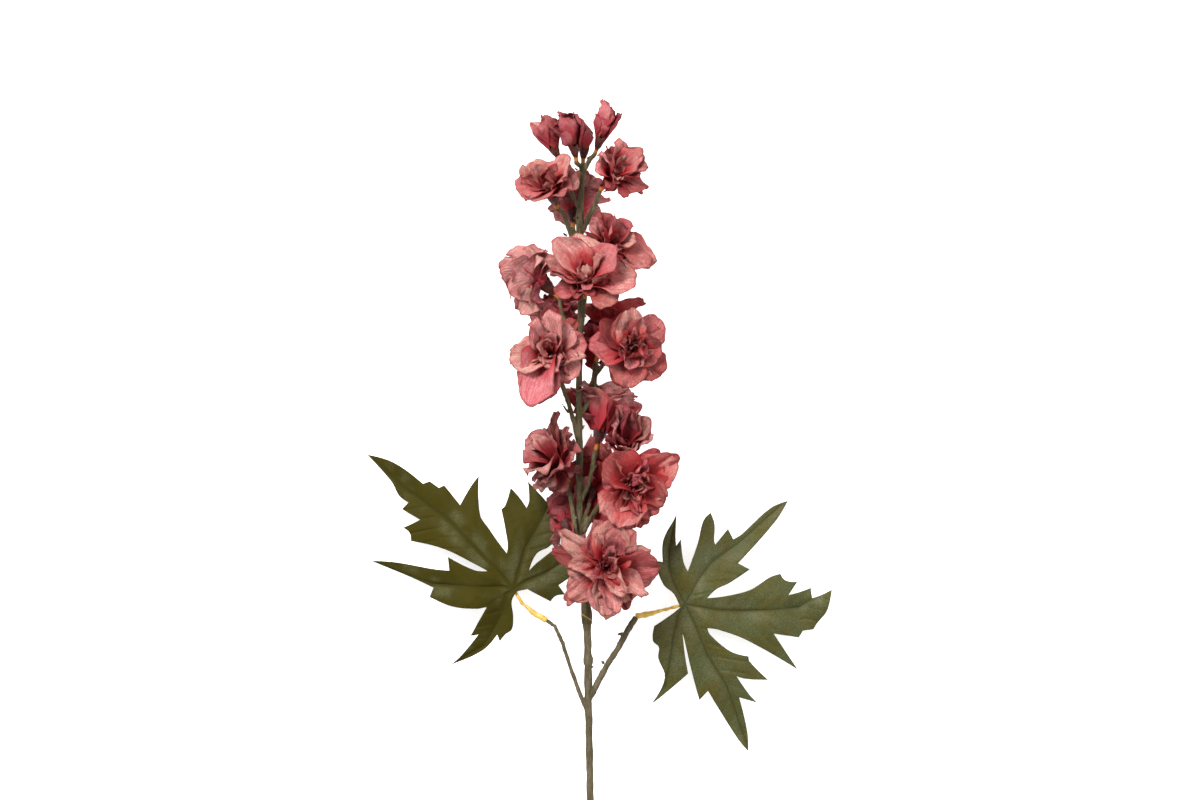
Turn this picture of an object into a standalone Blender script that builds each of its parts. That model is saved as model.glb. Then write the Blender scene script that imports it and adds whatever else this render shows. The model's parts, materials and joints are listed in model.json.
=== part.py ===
"""An artificial delphinium spray, lying on a flat surface with its tip at +Y and its front at +Z.

A wired plastic stem in two lengths carries twenty-one blossoms and two lobed leaves. Each blossom is a
turned cup on a push-in peg, with one or two whorls of stiff fabric petals on it. Units are metres, and
the values below are in millimetres where their names end in MM or where a line says so.
"""

from collections import namedtuple
from math import atan2, cos, exp, hypot, pi, radians, sin

import bmesh
import bpy
from mathutils import Matrix, Vector

MM = 0.001
GAP = 0.3
FLOOR_CLEARANCE = 0.85

# The spray is laid out with x = 0 beside the stem, y = 0 at its cut end and z = 0 on the surface.
# CENTRE is the middle of its outline there, which becomes the origin.
CENTRE = Vector((11.0, 350.0, 0.0))

SURFACE = (Vector((0.0, 0.0, FLOOR_CLEARANCE)), Vector((0.0, 0.0, 1.0)))

# A petal climbs first and spreads afterwards: its reach and rise run with these powers of the way
# along it.
SHEET_THICKNESS = 0.9
REACH_POWER = 1.25
RISE_POWER = 1.6
REACH_HALFWAY = 0.5 ** REACH_POWER
RISE_HALFWAY = 1 - 0.5 ** RISE_POWER

# Round a whorl the rim runs notch, shoulder, tip, shoulder. A shoulder lies this share of the gap to the
# next petal beside the tip, and reaches this share of it. A notch reaches the given share of its petals.
SHOULDER_SHARE = 0.22
SHOULDER_REACH = 0.96
OPEN_NOTCH = 0.66
BUD_NOTCH = 0.8
INNER_NOTCH = 0.75

# Radius and height of a whorl's inner edge, and how many rows of facets it has from there to the rim.
OUTER_START = (2.0, 1.0)
INNER_START = (1.2, 2.4)
WHORL_ROWS = 2

# How blossoms are parted: where a blossom's middle is above its seat, the least share of the way
# between two middles that is left to either, and the space kept beside the dividing plane and the stem.
HEART_HEIGHT = 7.0
LEAST_SHARE = 0.3
NEIGHBOUR_CLEARANCE = 0.9
STEM_CLEARANCE = 3.6
FREE_SHARE = 0.7

LEAF_THICKNESS = 0.8
LEAF_HUB_HEIGHT = 22.0
LEAF_REACH_TO_FLOOR = 108.0
LEAF_FACET = 32.0

# Turned cups: length and rim radius of the cup, then length and radius of its peg.
Cup = namedtuple("Cup", "length rim_radius peg_length peg_radius")
OPEN_CUP = Cup(11.0, 5.6, 4.2, 1.7)
BUD_CUP = Cup(9.0, 4.2, 3.0, 1.5)
CUP_SIDES = 8

# Stem centre lines and radii, as (x, y, z, radius) in mm from the cut end to the tip.
LOWER_STEM = [
    (4.5, 0.0, 2.4, 2.3), (4.4, 60.0, 7.6, 2.3), (4.1, 120.0, 14.0, 2.3), (3.7, 177.0, 20.0, 2.35),
    (2.9, 225.0, 24.6, 2.4), (2.3, 252.0, 27.0, 2.5), (2.2, 268.0, 28.4, 2.8), (2.2, 277.5, 29.2, 2.5),
    (2.2, 279.6, 29.4, 3.3), (2.2, 283.0, 29.7, 3.5), (2.1, 286.0, 29.9, 2.7), (1.9, 297.0, 30.8, 2.6),
    (1.6, 305.0, 31.4, 2.8), (1.4, 310.0, 31.8, 3.3),
]
UPPER_STEM = [
    (1.35, 310.6, 31.85, 3.6), (1.2, 316.0, 32.1, 4.0), (0.6, 323.0, 32.6, 3.4), (0.0, 333.0, 33.1, 2.7),
    (-2.0, 358.0, 34.6, 2.5), (-3.8, 387.0, 36.0, 2.4), (-4.0, 414.0, 36.7, 2.2), (-4.2, 440.0, 37.3, 2.6),
    (-4.5, 457.0, 37.7, 2.3), (-4.5, 489.0, 38.0, 2.1), (-3.6, 520.0, 38.0, 2.1), (-3.0, 546.0, 38.0, 2.3),
    (-3.2, 575.0, 37.6, 2.1), (-3.6, 598.0, 37.2, 2.3), (-4.2, 613.5, 37.0, 2.9), (-3.4, 622.0, 36.9, 2.2),
    (-2.6, 638.0, 36.5, 2.0), (-1.8, 651.0, 36.0, 1.9),
]
SOCKET_HOLE = (-5.2, 613.5, 1.1, 3.0)

STALK_RADIUS = 1.45
LEFT_LEAF_STALK = [(2.0, 242.0, 26.4), (-4.0, 257.0, 26.6), (-11.0, 276.0, 26.4), (-17.0, 295.0, 25.6),
                   (-22.5, 307.0, 24.8), (-29.0, 311.5, 24.0)]
RIGHT_LEAF_STALK = [(2.6, 251.0, 27.0), (8.0, 262.0, 27.4), (16.0, 277.0, 27.2), (25.0, 291.0, 26.4),
                    (32.0, 304.0, 25.4), (38.0, 313.5, 24.4)]
LEFT_PIN = [(-29.6, 311.9, 23.9), (-37.0, 316.0, 22.6), (-47.0, 324.0, 20.2), (-53.0, 334.0, 19.9)]
RIGHT_PIN = [(39.0, 314.6, 24.2), (47.0, 316.0, 23.0), (58.0, 319.0, 21.2), (74.0, 323.0, 20.0)]
LEAF_STALK_RADII = (1.2, 1.5)
PIN_RADIUS = 1.15

# Leaf outlines, clockwise from the hub, as (right, up) in mm from the hub. Each row is one lobe.
LEFT_HUB = (-54.0, 333.8)
LEFT_LEAF = [
    (4, -2), (11, 1), (28, -8), (32, -4), (39, -3), (34, 4), (50, 14), (66, 20), (58, 30), (45, 33),
    (36, 35), (28, 29), (18, 21), (12.5, 15.5),
    (18, 28), (27, 33), (38, 44), (32, 58), (23, 69), (11, 82), (12, 68), (10, 62), (4.5, 70),
    (-2, 77), (-6, 64), (-9, 61), (-6, 47), (-4, 34), (-4.8, 28),
    (-11, 36), (-18, 46), (-25, 57), (-26, 86), (-32, 78), (-40, 64), (-52, 79), (-56, 77), (-63, 82),
    (-68, 80), (-90, 96), (-110, 102), (-92, 82), (-86, 71), (-79, 66), (-84, 61), (-70, 53),
    (-83, 47), (-78, 43), (-77, 37), (-52, 31), (-28, 19), (-19.5, 14),
    (-29, 15), (-49, 25), (-48, 15), (-60, 16), (-88, 21), (-107, 22), (-92, 16), (-75, 9), (-60, 2),
    (-63, -5), (-46, -12), (-27, -14), (-20, -13),
    (-24, -20), (-32, -34), (-26, -33), (-34, -43), (-41, -51), (-47, -56), (-32, -49), (-23, -45),
    (-12, -33), (-10, -38), (-6, -33), (-1, -29), (0, -19), (-1, -8),
]
RIGHT_HUB = (72.0, 323.2)
RIGHT_LEAF = [
    (-5, 8), (-13, 15), (-20, 33), (-13.5, 32), (-13, 49), (-4, 66), (-3, 71), (-4, 52), (-3.5, 44),
    (0, 49), (2, 33), (5.5, 26),
    (8, 33), (13, 47), (17, 63), (22.5, 69), (25.5, 60), (25, 48), (26, 45), (35.5, 57), (39.5, 49),
    (46, 53), (67, 72), (81, 78), (71, 62), (52, 41), (43, 31), (52, 26.5), (36, 16), (27, 12),
    (20, 5.5),
    (33, 6.5), (52, 11), (67, 20.5), (75, 23), (79, 18), (88, 17), (81, 7), (89, 9), (98, 12.5),
    (99, 4.5), (106, 7), (114, 11), (110, -5), (103, -14), (100, -19), (92, -20), (89, -25), (70, -22),
    (88, -49), (72, -40), (50, -27), (28, -19), (19.5, -18),
    (22, -23), (37, -35), (51, -39), (52, -43), (66, -57), (49, -56), (42, -54), (51, -67), (57.5, -74),
    (44, -70), (50, -95), (51, -111), (42, -100), (29, -79), (20.5, -65), (14, -72), (8, -50),
    (1.3, -21.5),
    (3, -38), (5.5, -52), (2, -55), (-5, -61), (-14, -69), (-22, -75), (-12, -55), (-17, -40),
    (-16.5, -32), (-21, -27), (-20, -16), (-8, -8), (0, -2),
]

# One blossom: where its petals spring from, the way it faces (azimuth from +X, tilt from +Z, in
# degrees), the radius of room it takes among its neighbours, and the tip of each petal in the outer
# whorl, as (right, up, toward the viewer) in mm from the seat. inner is the count, first angle and
# petal length of the inner whorl. stalk is the way down to the stem, after the peg.
Blossom = namedtuple("Blossom", "cup seat aim room tips inner stalk")

BLOSSOMS = [
    Blossom(BUD_CUP, (-24, 667, 40), (115, 80), 13,
            [(-17, 16, 3), (-7, 23, 7), (3, 20, 1), (-4, 21, -7)], None,
            [(-14.5, 644, 35), (-9, 630, 35.5), (-3.5, 620, 36.5)]),
    Blossom(BUD_CUP, (-8.5, 668, 47), (100, 75), 15,
            [(-12, 22, 6), (-3, 25, 5), (5, 21, 2), (1, 22, -6), (-9, 22, -5)], None,
            [(-3, 652, 38), (-2, 648, 36.5)]),
    Blossom(BUD_CUP, (-0.5, 667, 35), (85, 92), 9,
            [(3, 21, 3), (-3, 19, 2), (1, 19, -5)], None,
            [(-1.7, 647, 36.2)]),
    Blossom(BUD_CUP, (12, 674, 40), (70, 80), 14,
            [(-5, 17, 4), (1, 26, 7), (6, 23, -4), (15, 17, 2)], None,
            [(4, 658, 37.5), (-1.5, 648, 36.5)]),
    Blossom(OPEN_CUP, (-25, 632, 47), (110, 45), 26,
            [(-20, 25, -2), (13, 27, -4), (19, 16, 6), (-28, 8, 12), (-17, -4, 22), (11, 1, 20)],
            (5, 20, 14),
            [(-16, 617, 35), (-13, 608, 35.5), (-9, 596, 36.5), (-4, 580, 37.3)]),
    Blossom(OPEN_CUP, (20, 644, 47), (50, 50), 24,
            [(1, 28, -2), (26, 13, 2), (27, -9, 8), (14, -15, 14), (-2, -9, 18), (-10, 14, 10)],
            (5, 0, 14),
            [(9, 627, 36), (4, 616, 36.6), (-2, 603, 37)]),
    Blossom(OPEN_CUP, (-8, 618, 24), (85, 130), 26,
            [(12, 29, 4), (27, 10, -2), (18, -3, -12), (-13, -6, -13), (-20, 3, -4), (-10, 18, 4)], None,
            [(-7, 601, 35.6), (-4, 594, 37)]),
    Blossom(OPEN_CUP, (17, 590, 45), (60, 50), 20,
            [(-9, 25, -1), (4, 23, -5), (19, 14, 2), (35, -12, 6), (3, -12, 18), (-18, 9, 8)],
            (5, 40, 15),
            [(8, 572, 34), (2, 560, 35.5), (-3, 548, 37)]),
    Blossom(OPEN_CUP, (-31, 565, 40), (135, 80), 26,
            [(-3, 26, 3), (-14, 19, 15), (-31, 1, 10), (-20, -21, -2), (-28, 11, -13), (-9, 22, -14)],
            (5, 10, 16),
            [(-18.5, 547, 37), (-15.5, 536, 37.5), (-10, 524, 37.8), (-5, 514, 38)]),
    Blossom(OPEN_CUP, (1, 564, 59), (85, 40), 33,
            [(-15, 33, 3), (15, 30, 2), (38, 2, 6), (25, -10, 12), (-5, -9, 15), (-28, 12, 9)],
            (7, 15, 17),
            [(-0.5, 549, 45), (-1.5, 541, 42), (-3, 530, 38.5)]),
    Blossom(OPEN_CUP, (-19, 538, 24), (110, 115), 24,
            [(-22, 10, 0), (-10, 15, 8), (-22, 0, -12), (9, 20, 3), (14, 8, -12), (-5, 4, -26)], None,
            [(-11, 519, 32), (-5.5, 510, 37.5)]),
    Blossom(OPEN_CUP, (-25, 511, 55), (105, 20), 32,
            [(-10, 25, 9), (13, 27, 9), (26, 15, 5), (17, -19, 12), (-17, -36, 12), (-32, -2, 8)],
            (7, 0, 18),
            [(-22, 499, 37), (-17, 488, 37), (-12, 474, 37.6), (-8, 459, 37.8), (-4.5, 443, 37.5)]),
    Blossom(OPEN_CUP, (35, 515, 51), (0, 8), 32,
            [(-7, 31, 9), (19, 25, 8), (23, 0, 11), (19, -23, 8), (-8, -28, 9), (-34, 6, 8)],
            (7, 25, 18),
            [(26, 510, 33), (14, 504, 33), (8, 496, 34), (6, 484, 37), (2, 474, 38.5), (-4, 464, 38)]),
    Blossom(OPEN_CUP, (12, 520, 24), (75, 105), 25,
            [(-2, 32, 2), (16, 31, 0), (24, 20, -9), (-10, 15, 9), (-13, 2, -12), (8, 3, -26)], None,
            [(7, 497, 32), (6, 488, 34)]),
    Blossom(OPEN_CUP, (12, 455, 28), (76, 95), 22,
            [(-22, 29, -5), (-6, 33, -14), (15, 31, -12), (26, 20, 3), (10, 27, 15)], None,
            [(6.5, 431, 31), (4.5, 420, 34), (1, 410, 36), (-3, 400, 36.4)]),
    Blossom(OPEN_CUP, (29, 439, 38), (80, 55), 26,
            [(-8, 26, 2), (8, 29, -4), (21, 14, 2), (8, 1, 18), (-12, 4, 12)],
            (4, 20, 13),
            [(21, 416, 30), (14, 404, 33), (6, 391, 36), (-3, 381, 36.5)]),
    Blossom(OPEN_CUP, (-19, 428, 43), (120, 60), 27,
            [(11, 24, -9), (-7, 27, -6), (-26, 18, 2), (-26, -5, 14), (-11, -13, 18), (8, 1, 15)],
            (5, 30, 13),
            [(-12, 410, 36), (-9.5, 396, 40), (-7.5, 382, 42), (-4.5, 368, 40), (-2.5, 357, 35)]),
    Blossom(OPEN_CUP, (37, 414, 55), (0, 10), 32,
            [(-13, 26, 9), (30, 21, 9), (26, -6, 12), (15, -24, 9), (-14, -32, 9), (-24, 0, 6)],
            (7, 0, 18),
            [(29, 413, 37.5), (20, 410, 38), (13, 402, 38), (5, 390, 37), (-1, 378, 36)]),
    Blossom(OPEN_CUP, (4, 409, 22), (85, 140), 25,
            [(12, 30, 0), (-7, 27, 2), (-20, 8, -6), (-6, -8, -24), (17, -2, -14)], None,
            [(1, 392, 35), (-2, 384, 36)]),
    Blossom(OPEN_CUP, (16, 352, 53), (-60, 10), 32,
            [(22, 28, 9), (-6, 35, 4), (-32, 27, 11), (-30, -2, 9), (-27, -25, 6), (-3, -37, 8),
             (20, -25, 9), (37, -7, 8)],
            (8, 10, 19),
            [(10, 349, 34), (5, 340, 33.4), (0.5, 328, 33)]),
    Blossom(OPEN_CUP, (-14, 385, 30), (100, 130), 24,
            [(-8, 25, 4), (-13, 8, -3), (-9, -8, -12), (6, -9, -16), (14, 12, -8)], None,
            [(-11, 367, 40.5), (-8, 360, 38.5), (-3, 350, 34.5)]),
]

COLOURS = {
    "upper_stem": (0.115, 0.115, 0.062), "lower_stem": (0.13, 0.12, 0.075), "leaf": (0.085, 0.095, 0.035),
    "pin": (0.62, 0.40, 0.06), "cup": (0.085, 0.020, 0.022), "outer": (0.50, 0.15, 0.14),
    "inner": (0.42, 0.10, 0.10),
}


def clear_scene():
    for thing in list(bpy.data.objects):
        bpy.data.objects.remove(thing)


def new_collection(name):
    collection = bpy.data.collections.new(name)
    bpy.context.scene.collection.children.link(collection)
    return collection


def material(name, colour, roughness):
    finish = bpy.data.materials.new(name)
    finish.use_nodes = True
    shader = finish.node_tree.nodes["Principled BSDF"]
    shader.inputs["Base Color"].default_value = (*colour, 1.0)
    shader.inputs["Roughness"].default_value = roughness
    shader.inputs["Metallic"].default_value = 0.0
    return finish


def add_object(name, mesh, finish, collection, parent):
    thing = bpy.data.objects.new(name, mesh)
    if finish is not None and not mesh.materials:
        mesh.materials.append(finish)
    collection.objects.link(thing)
    thing.parent = parent
    return thing


def mesh_from(name, bm, smooth=True):
    bmesh.ops.recalc_face_normals(bm, faces=bm.faces)
    mesh = bpy.data.meshes.new(name)
    bm.to_mesh(mesh)
    bm.free()
    if smooth:
        mesh.shade_smooth()
        mesh.set_sharp_from_angle(angle=radians(40))
    return mesh


def curve_mesh(curve):
    """The closed mesh of a curve, with its caps welded on."""
    guide = bpy.data.objects.new("guide", curve)
    bpy.context.scene.collection.objects.link(guide)
    evaluated = guide.evaluated_get(bpy.context.evaluated_depsgraph_get())
    mesh = bpy.data.meshes.new_from_object(evaluated)
    bpy.data.objects.remove(guide)
    bm = bmesh.new()
    bm.from_mesh(mesh)
    bmesh.ops.remove_doubles(bm, verts=bm.verts, dist=0.02 * MM)
    bm.to_mesh(mesh)
    bm.free()
    return mesh


def tube_mesh(points):
    """A round tube through (x, y, z, radius) points in mm."""
    curve = bpy.data.curves.new("tube", "CURVE")
    curve.dimensions = "3D"
    curve.bevel_depth = MM
    curve.bevel_resolution = 2
    curve.use_fill_caps = True
    line = curve.splines.new("POLY")
    line.points.add(len(points) - 1)
    for point, (x, y, z, radius) in zip(line.points, points):
        point.co = (x * MM, y * MM, z * MM, 1.0)
        point.radius = radius
    return curve_mesh(curve)


def with_radii(points, first, last):
    """The points with a radius added, running evenly from first to last."""
    steps = len(points) - 1
    return [(*point, first + (last - first) * i / steps) for i, point in enumerate(points)]


def joined(name, base, pieces, operation="UNION"):
    """The base mesh with each piece united with it, or cut from it."""
    scene = bpy.context.scene.collection
    whole = bpy.data.objects.new(name, base)
    scene.objects.link(whole)
    tools = []
    for piece in pieces:
        tool = bpy.data.objects.new("tool", piece)
        scene.objects.link(tool)
        step = whole.modifiers.new("join", "BOOLEAN")
        step.operation = operation
        step.solver = "EXACT"
        step.object = tool
        tools.append(tool)
    evaluated = whole.evaluated_get(bpy.context.evaluated_depsgraph_get())
    mesh = bpy.data.meshes.new_from_object(evaluated)
    mesh.name = name
    for thing in tools + [whole]:
        bpy.data.objects.remove(thing)
    mesh.shade_smooth()
    mesh.set_sharp_from_angle(angle=radians(40))
    return mesh


def facing(aim):
    """The unit vectors across, along and out of a blossom that faces this azimuth and tilt."""
    azimuth, tilt = radians(aim[0]), radians(aim[1])
    out = Vector((cos(azimuth) * sin(tilt), sin(azimuth) * sin(tilt), cos(tilt)))
    across = Vector((-sin(azimuth), cos(azimuth), 0.0))
    return across, out.cross(across), out


def placing(blossom):
    """The matrix of a blossom's own frame in the spray, in mm."""
    across, along, out = facing(blossom.aim)
    turn = Matrix((across, along, out)).transposed().to_4x4()
    return Matrix.Translation(Vector(blossom.seat)) @ turn


def cup_mesh(name, cup):
    """A cup and its peg, turned about +Z with the rim at z = 0."""
    end = -cup.length - cup.peg_length
    profile = [(0.0, 0.0), (cup.rim_radius, 0.0), (cup.rim_radius * 0.8, -cup.length * 0.5),
               (cup.peg_radius + 0.5, -cup.length), (cup.peg_radius, -cup.length - 0.4),
               (cup.peg_radius, end), (0.0, end)]
    bm = bmesh.new()
    corners = [bm.verts.new((radius * MM, 0.0, height * MM)) for radius, height in profile]
    edges = [bm.edges.new(pair) for pair in zip(corners, corners[1:])]
    bmesh.ops.spin(bm, geom=corners + edges, cent=(0, 0, 0), axis=(0, 0, 1), angle=2 * pi,
                   steps=CUP_SIDES, use_merge=True)
    bmesh.ops.remove_doubles(bm, verts=bm.verts, dist=0.01 * MM)
    return mesh_from(name, bm)


def neighbour_planes(index):
    """Planes (point, normal) that part this blossom from its neighbours and the stem."""
    own = BLOSSOMS[index]
    centre = heart(own)
    planes = []
    for other in BLOSSOMS:
        away = centre - heart(other)
        distance = away.length
        if other is own or distance > own.room + other.room:
            continue
        share = 0.5 + (own.room ** 2 - other.room ** 2) / (2 * distance ** 2)
        share = min(max(share, LEAST_SHARE), 1 - LEAST_SHARE)
        side = away.normalized()
        planes.append((centre - away * share + side * NEIGHBOUR_CLEARANCE, side))
    nearest = nearest_on_stem(centre)
    side = (centre - nearest).normalized()
    planes.append((nearest + side * STEM_CLEARANCE, side))
    return planes


def heart(blossom):
    """The middle of a blossom, a little out from its seat."""
    return Vector(blossom.seat) + facing(blossom.aim)[2] * HEART_HEIGHT


def nearest_on_stem(point):
    spots = []
    for a, b in zip(UPPER_STEM, UPPER_STEM[1:]):
        start, way = Vector(a[:3]), Vector(b[:3]) - Vector(a[:3])
        part = min(max((point - start).dot(way) / way.length_squared, 0.0), 1.0)
        spots.append(start + way * part)
    return min(spots, key=lambda spot: (spot - point).length)


def room_along(start, way, planes):
    """How far one can go from start along way before a plane is met."""
    room = 200.0
    for point, normal in planes:
        closing = -way.dot(normal)
        if closing > 1e-6:
            room = min(room, max((start - point).dot(normal), 0.5) / closing)
    return room


def eased(length, room):
    """A length pressed back so that it never passes the room there is."""
    free = FREE_SHARE * room
    if length <= free:
        return length
    spare = room - free
    return free + spare * (1 - exp(-(length - free) / spare))


def petal_columns(petals, notch):
    """(angle, reach, rise) round the rim: for each petal a notch, a shoulder, its tip and a shoulder."""
    columns = []
    petals = sorted(petals)
    for i, (angle, reach, rise) in enumerate(petals):
        before = petals[i - 1]
        after = petals[(i + 1) % len(petals)]
        gap_before = (angle - before[0]) % (2 * pi)
        gap_after = (after[0] - angle) % (2 * pi)
        columns.append((angle - gap_before / 2, notch * (reach + before[1]) / 2,
                        notch * (rise + before[2]) / 2))
        columns.append((angle - gap_before * SHOULDER_SHARE, reach * SHOULDER_REACH, rise))
        columns.append((angle, reach, rise))
        columns.append((angle + gap_after * SHOULDER_SHARE, reach * SHOULDER_REACH, rise))
    return columns


def whorl_mesh(name, columns, start, frame, planes):
    """A ring of petals as one closed sheet: a grid rolled round the axis, shaped, then thickened.

    start is the (radius, height) of the inner edge. Every point is pressed back toward the seat where
    the blossom meets its neighbours.
    """
    count = len(columns)
    bm = bmesh.new()
    bmesh.ops.create_grid(bm, x_segments=count, y_segments=WHORL_ROWS, size=0.5)
    seat = frame.translation
    for vert in bm.verts:
        angle, reach, rise = columns[round((vert.co.x + 0.5) * count) % count]
        part = vert.co.y + 0.5
        radius = start[0] + (reach - start[0]) * part ** REACH_POWER
        height = start[1] + (rise - start[1]) * (1 - (1 - part) ** RISE_POWER)
        spot = Vector((radius * cos(angle), radius * sin(angle), height))
        way = (frame @ spot - seat).normalized()
        length = eased(spot.length, room_along(seat, way, planes))
        vert.co = spot * (min(length, room_along(seat, way, [SURFACE])) / spot.length)
    bmesh.ops.remove_doubles(bm, verts=bm.verts, dist=0.01)
    thick = SHEET_THICKNESS / 2
    inner_skin = list(bm.faces)
    made = bmesh.ops.extrude_face_region(bm, geom=inner_skin, use_keep_orig=True)
    for vert in [item for item in made["geom"] if isinstance(item, bmesh.types.BMVert)]:
        outward = vert.co.xy.normalized()
        vert.co += Vector((outward.x * thick, outward.y * thick, -thick)) * 1.2
    bmesh.ops.scale(bm, vec=(MM, MM, MM), verts=bm.verts)
    return mesh_from(name, bm)


def outer_petals(blossom):
    """(angle, reach, rise) of each outer petal in the blossom's own frame."""
    across, along, out = facing(blossom.aim)
    found = []
    for tip in blossom.tips:
        tip = Vector(tip)
        right, up = tip.dot(across), tip.dot(along)
        found.append((atan2(up, right), hypot(right, up), tip.dot(out)))
    return found


def steepness(petals, angle):
    """How steeply the outer whorl climbs near this angle, halfway along its petals."""
    def apart(petal):
        return abs((petal[0] - angle + pi) % (2 * pi) - pi)
    near = sorted(petals, key=apart)[:2]
    radius, height = OUTER_START
    return max(atan2(height + RISE_HALFWAY * (rise - height), radius + REACH_HALFWAY * (reach - radius))
               for _, reach, rise in near)


def inner_petals(blossom):
    """(angle, reach, rise) of each inner petal, which stands inside the outer ones."""
    count, first, length = blossom.inner
    outer = outer_petals(blossom)
    found = []
    for i in range(count):
        angle = radians(first) + 2 * pi * i / count - pi
        lean = min(max(steepness(outer, angle) + radians(16), radians(38)), radians(80))
        found.append((angle, length * cos(lean), length * sin(lean)))
    return found


def peg_end(blossom):
    """Where the blossom's stalk stops, a gap behind its peg."""
    back = blossom.cup.length + blossom.cup.peg_length + GAP
    return Vector(blossom.seat) - facing(blossom.aim)[2] * back


def upper_stem_mesh():
    """The upper stem with its flower stalks, moulded in one, and the empty socket in its side."""
    stalks = []
    for blossom in BLOSSOMS:
        behind = peg_end(blossom) - facing(blossom.aim)[2] * STALK_RADIUS * 1.3
        points = [tuple(peg_end(blossom)), tuple(behind)] + blossom.stalk
        stalks.append(tube_mesh(with_radii(points, STALK_RADIUS, STALK_RADIUS * 1.1)))
    whole = joined("stem_upper", tube_mesh(UPPER_STEM), stalks)
    x, y, radius, depth = SOCKET_HOLE
    drill = bmesh.new()
    bmesh.ops.create_cone(drill, cap_ends=True, segments=10, radius1=radius * MM, radius2=radius * MM,
                          depth=2 * depth * MM, matrix=Matrix.Translation(Vector((x, y, 40.0)) * MM))
    return joined("stem_upper", whole, [mesh_from("drill", drill)], "DIFFERENCE")


def lower_stem_mesh():
    thin, thick = LEAF_STALK_RADII
    stalks = [tube_mesh(with_radii(LEFT_LEAF_STALK, thick, thin)),
              tube_mesh(with_radii(RIGHT_LEAF_STALK, thick * 1.15, thick))]
    return joined("stem_lower", tube_mesh(LOWER_STEM), stalks)


def leaf_droop(distance):
    """Height of a leaf blade this far from its hub, in mm."""
    part = min(distance / LEAF_REACH_TO_FLOOR, 1.0)
    return LEAF_THICKNESS / 2 + 0.1 + LEAF_HUB_HEIGHT * (1 - part ** 1.5)


def leaf_mesh(name, hub, outline):
    """A flat blade cut to its outline, divided, and bent down from the hub to the surface."""
    curve = bpy.data.curves.new(name, "CURVE")
    curve.dimensions = "2D"
    curve.fill_mode = "BOTH"
    curve.extrude = LEAF_THICKNESS * MM / 2
    line = curve.splines.new("POLY")
    line.use_cyclic_u = True
    line.points.add(len(outline) - 1)
    for point, (x, y) in zip(line.points, outline):
        point.co = (x * MM, y * MM, 0.0, 1.0)
    bm = bmesh.new()
    bm.from_mesh(curve_mesh(curve))
    for axis in (Vector((1, 0, 0)), Vector((0, 1, 0))):
        for step in range(-5, 6):
            everything = bm.verts[:] + bm.edges[:] + bm.faces[:]
            bmesh.ops.bisect_plane(bm, geom=everything, plane_co=axis * (step + 0.37) * LEAF_FACET * MM,
                                   plane_no=axis)
    for vert in bm.verts:
        vert.co.z += leaf_droop(vert.co.xy.length / MM) * MM
        vert.co.x += hub[0] * MM
        vert.co.y += hub[1] * MM
    return mesh_from(name, bm)


def build():
    clear_scene()
    parts = new_collection("delphinium_spray")
    origin = bpy.data.objects.new("origin", None)
    origin.location = -CENTRE * MM
    parts.objects.link(origin)
    finishes = {name: material(name, colour, 0.7) for name, colour in COLOURS.items()}
    add_object("stem_upper", upper_stem_mesh(), finishes["upper_stem"], parts, origin)
    add_object("stem_lower", lower_stem_mesh(), finishes["lower_stem"], parts, origin)
    for side, hub, outline, pin in (("left", LEFT_HUB, LEFT_LEAF, LEFT_PIN),
                                    ("right", RIGHT_HUB, RIGHT_LEAF, RIGHT_PIN)):
        blade = leaf_mesh(f"leaf_{side}", hub, outline)
        add_object(f"leaf_{side}", blade, finishes["leaf"], parts, origin)
        pin_tube = tube_mesh(with_radii(pin, PIN_RADIUS * 1.15, PIN_RADIUS))
        add_object(f"leaf_pin_{side}", pin_tube, finishes["pin"], parts, origin)
    cups = {cup: cup_mesh("cup", cup) for cup in (OPEN_CUP, BUD_CUP)}
    for index, blossom in enumerate(BLOSSOMS):
        number = f"{index + 1:02d}"
        frame = placing(blossom)
        seat = bpy.data.objects.new(f"seat_{number}", None)
        seat.location = frame.translation * MM
        seat.rotation_euler = frame.to_euler()
        seat.parent = origin
        parts.objects.link(seat)
        planes = neighbour_planes(index)
        add_object(f"cup_{number}", cups[blossom.cup], finishes["cup"], parts, seat)
        notch = OPEN_NOTCH if blossom.cup is OPEN_CUP else BUD_NOTCH
        columns = petal_columns(outer_petals(blossom), notch)
        outer = whorl_mesh(f"outer_petals_{number}", columns, OUTER_START, frame, planes)
        add_object(f"outer_petals_{number}", outer, finishes["outer"], parts, seat)
        if blossom.inner:
            columns = petal_columns(inner_petals(blossom), INNER_NOTCH)[::2]
            inner = whorl_mesh(f"inner_petals_{number}", columns, INNER_START, frame, planes)
            add_object(f"inner_petals_{number}", inner, finishes["inner"], parts, seat)


build()
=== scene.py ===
# %% [markdown]
# # An artificial delphinium spray
#
# The real object is a spray for a vase. A plastic stem in two lengths carries twenty-one blossoms of
# crinkled cloth and two pressed cloth leaves. This script dresses the CAD model of that spray: it keeps
# every part where the CAD has it and gives it the shape and finish that the eye expects.
#
# Lengths in the script are in millimetres, because that is how one thinks of petals. `MM` turns them
# into Blender's metres where a mesh is made.

# %% Load the frame
import json
from math import atan2, cos, hypot, pi, radians, sin

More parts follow.
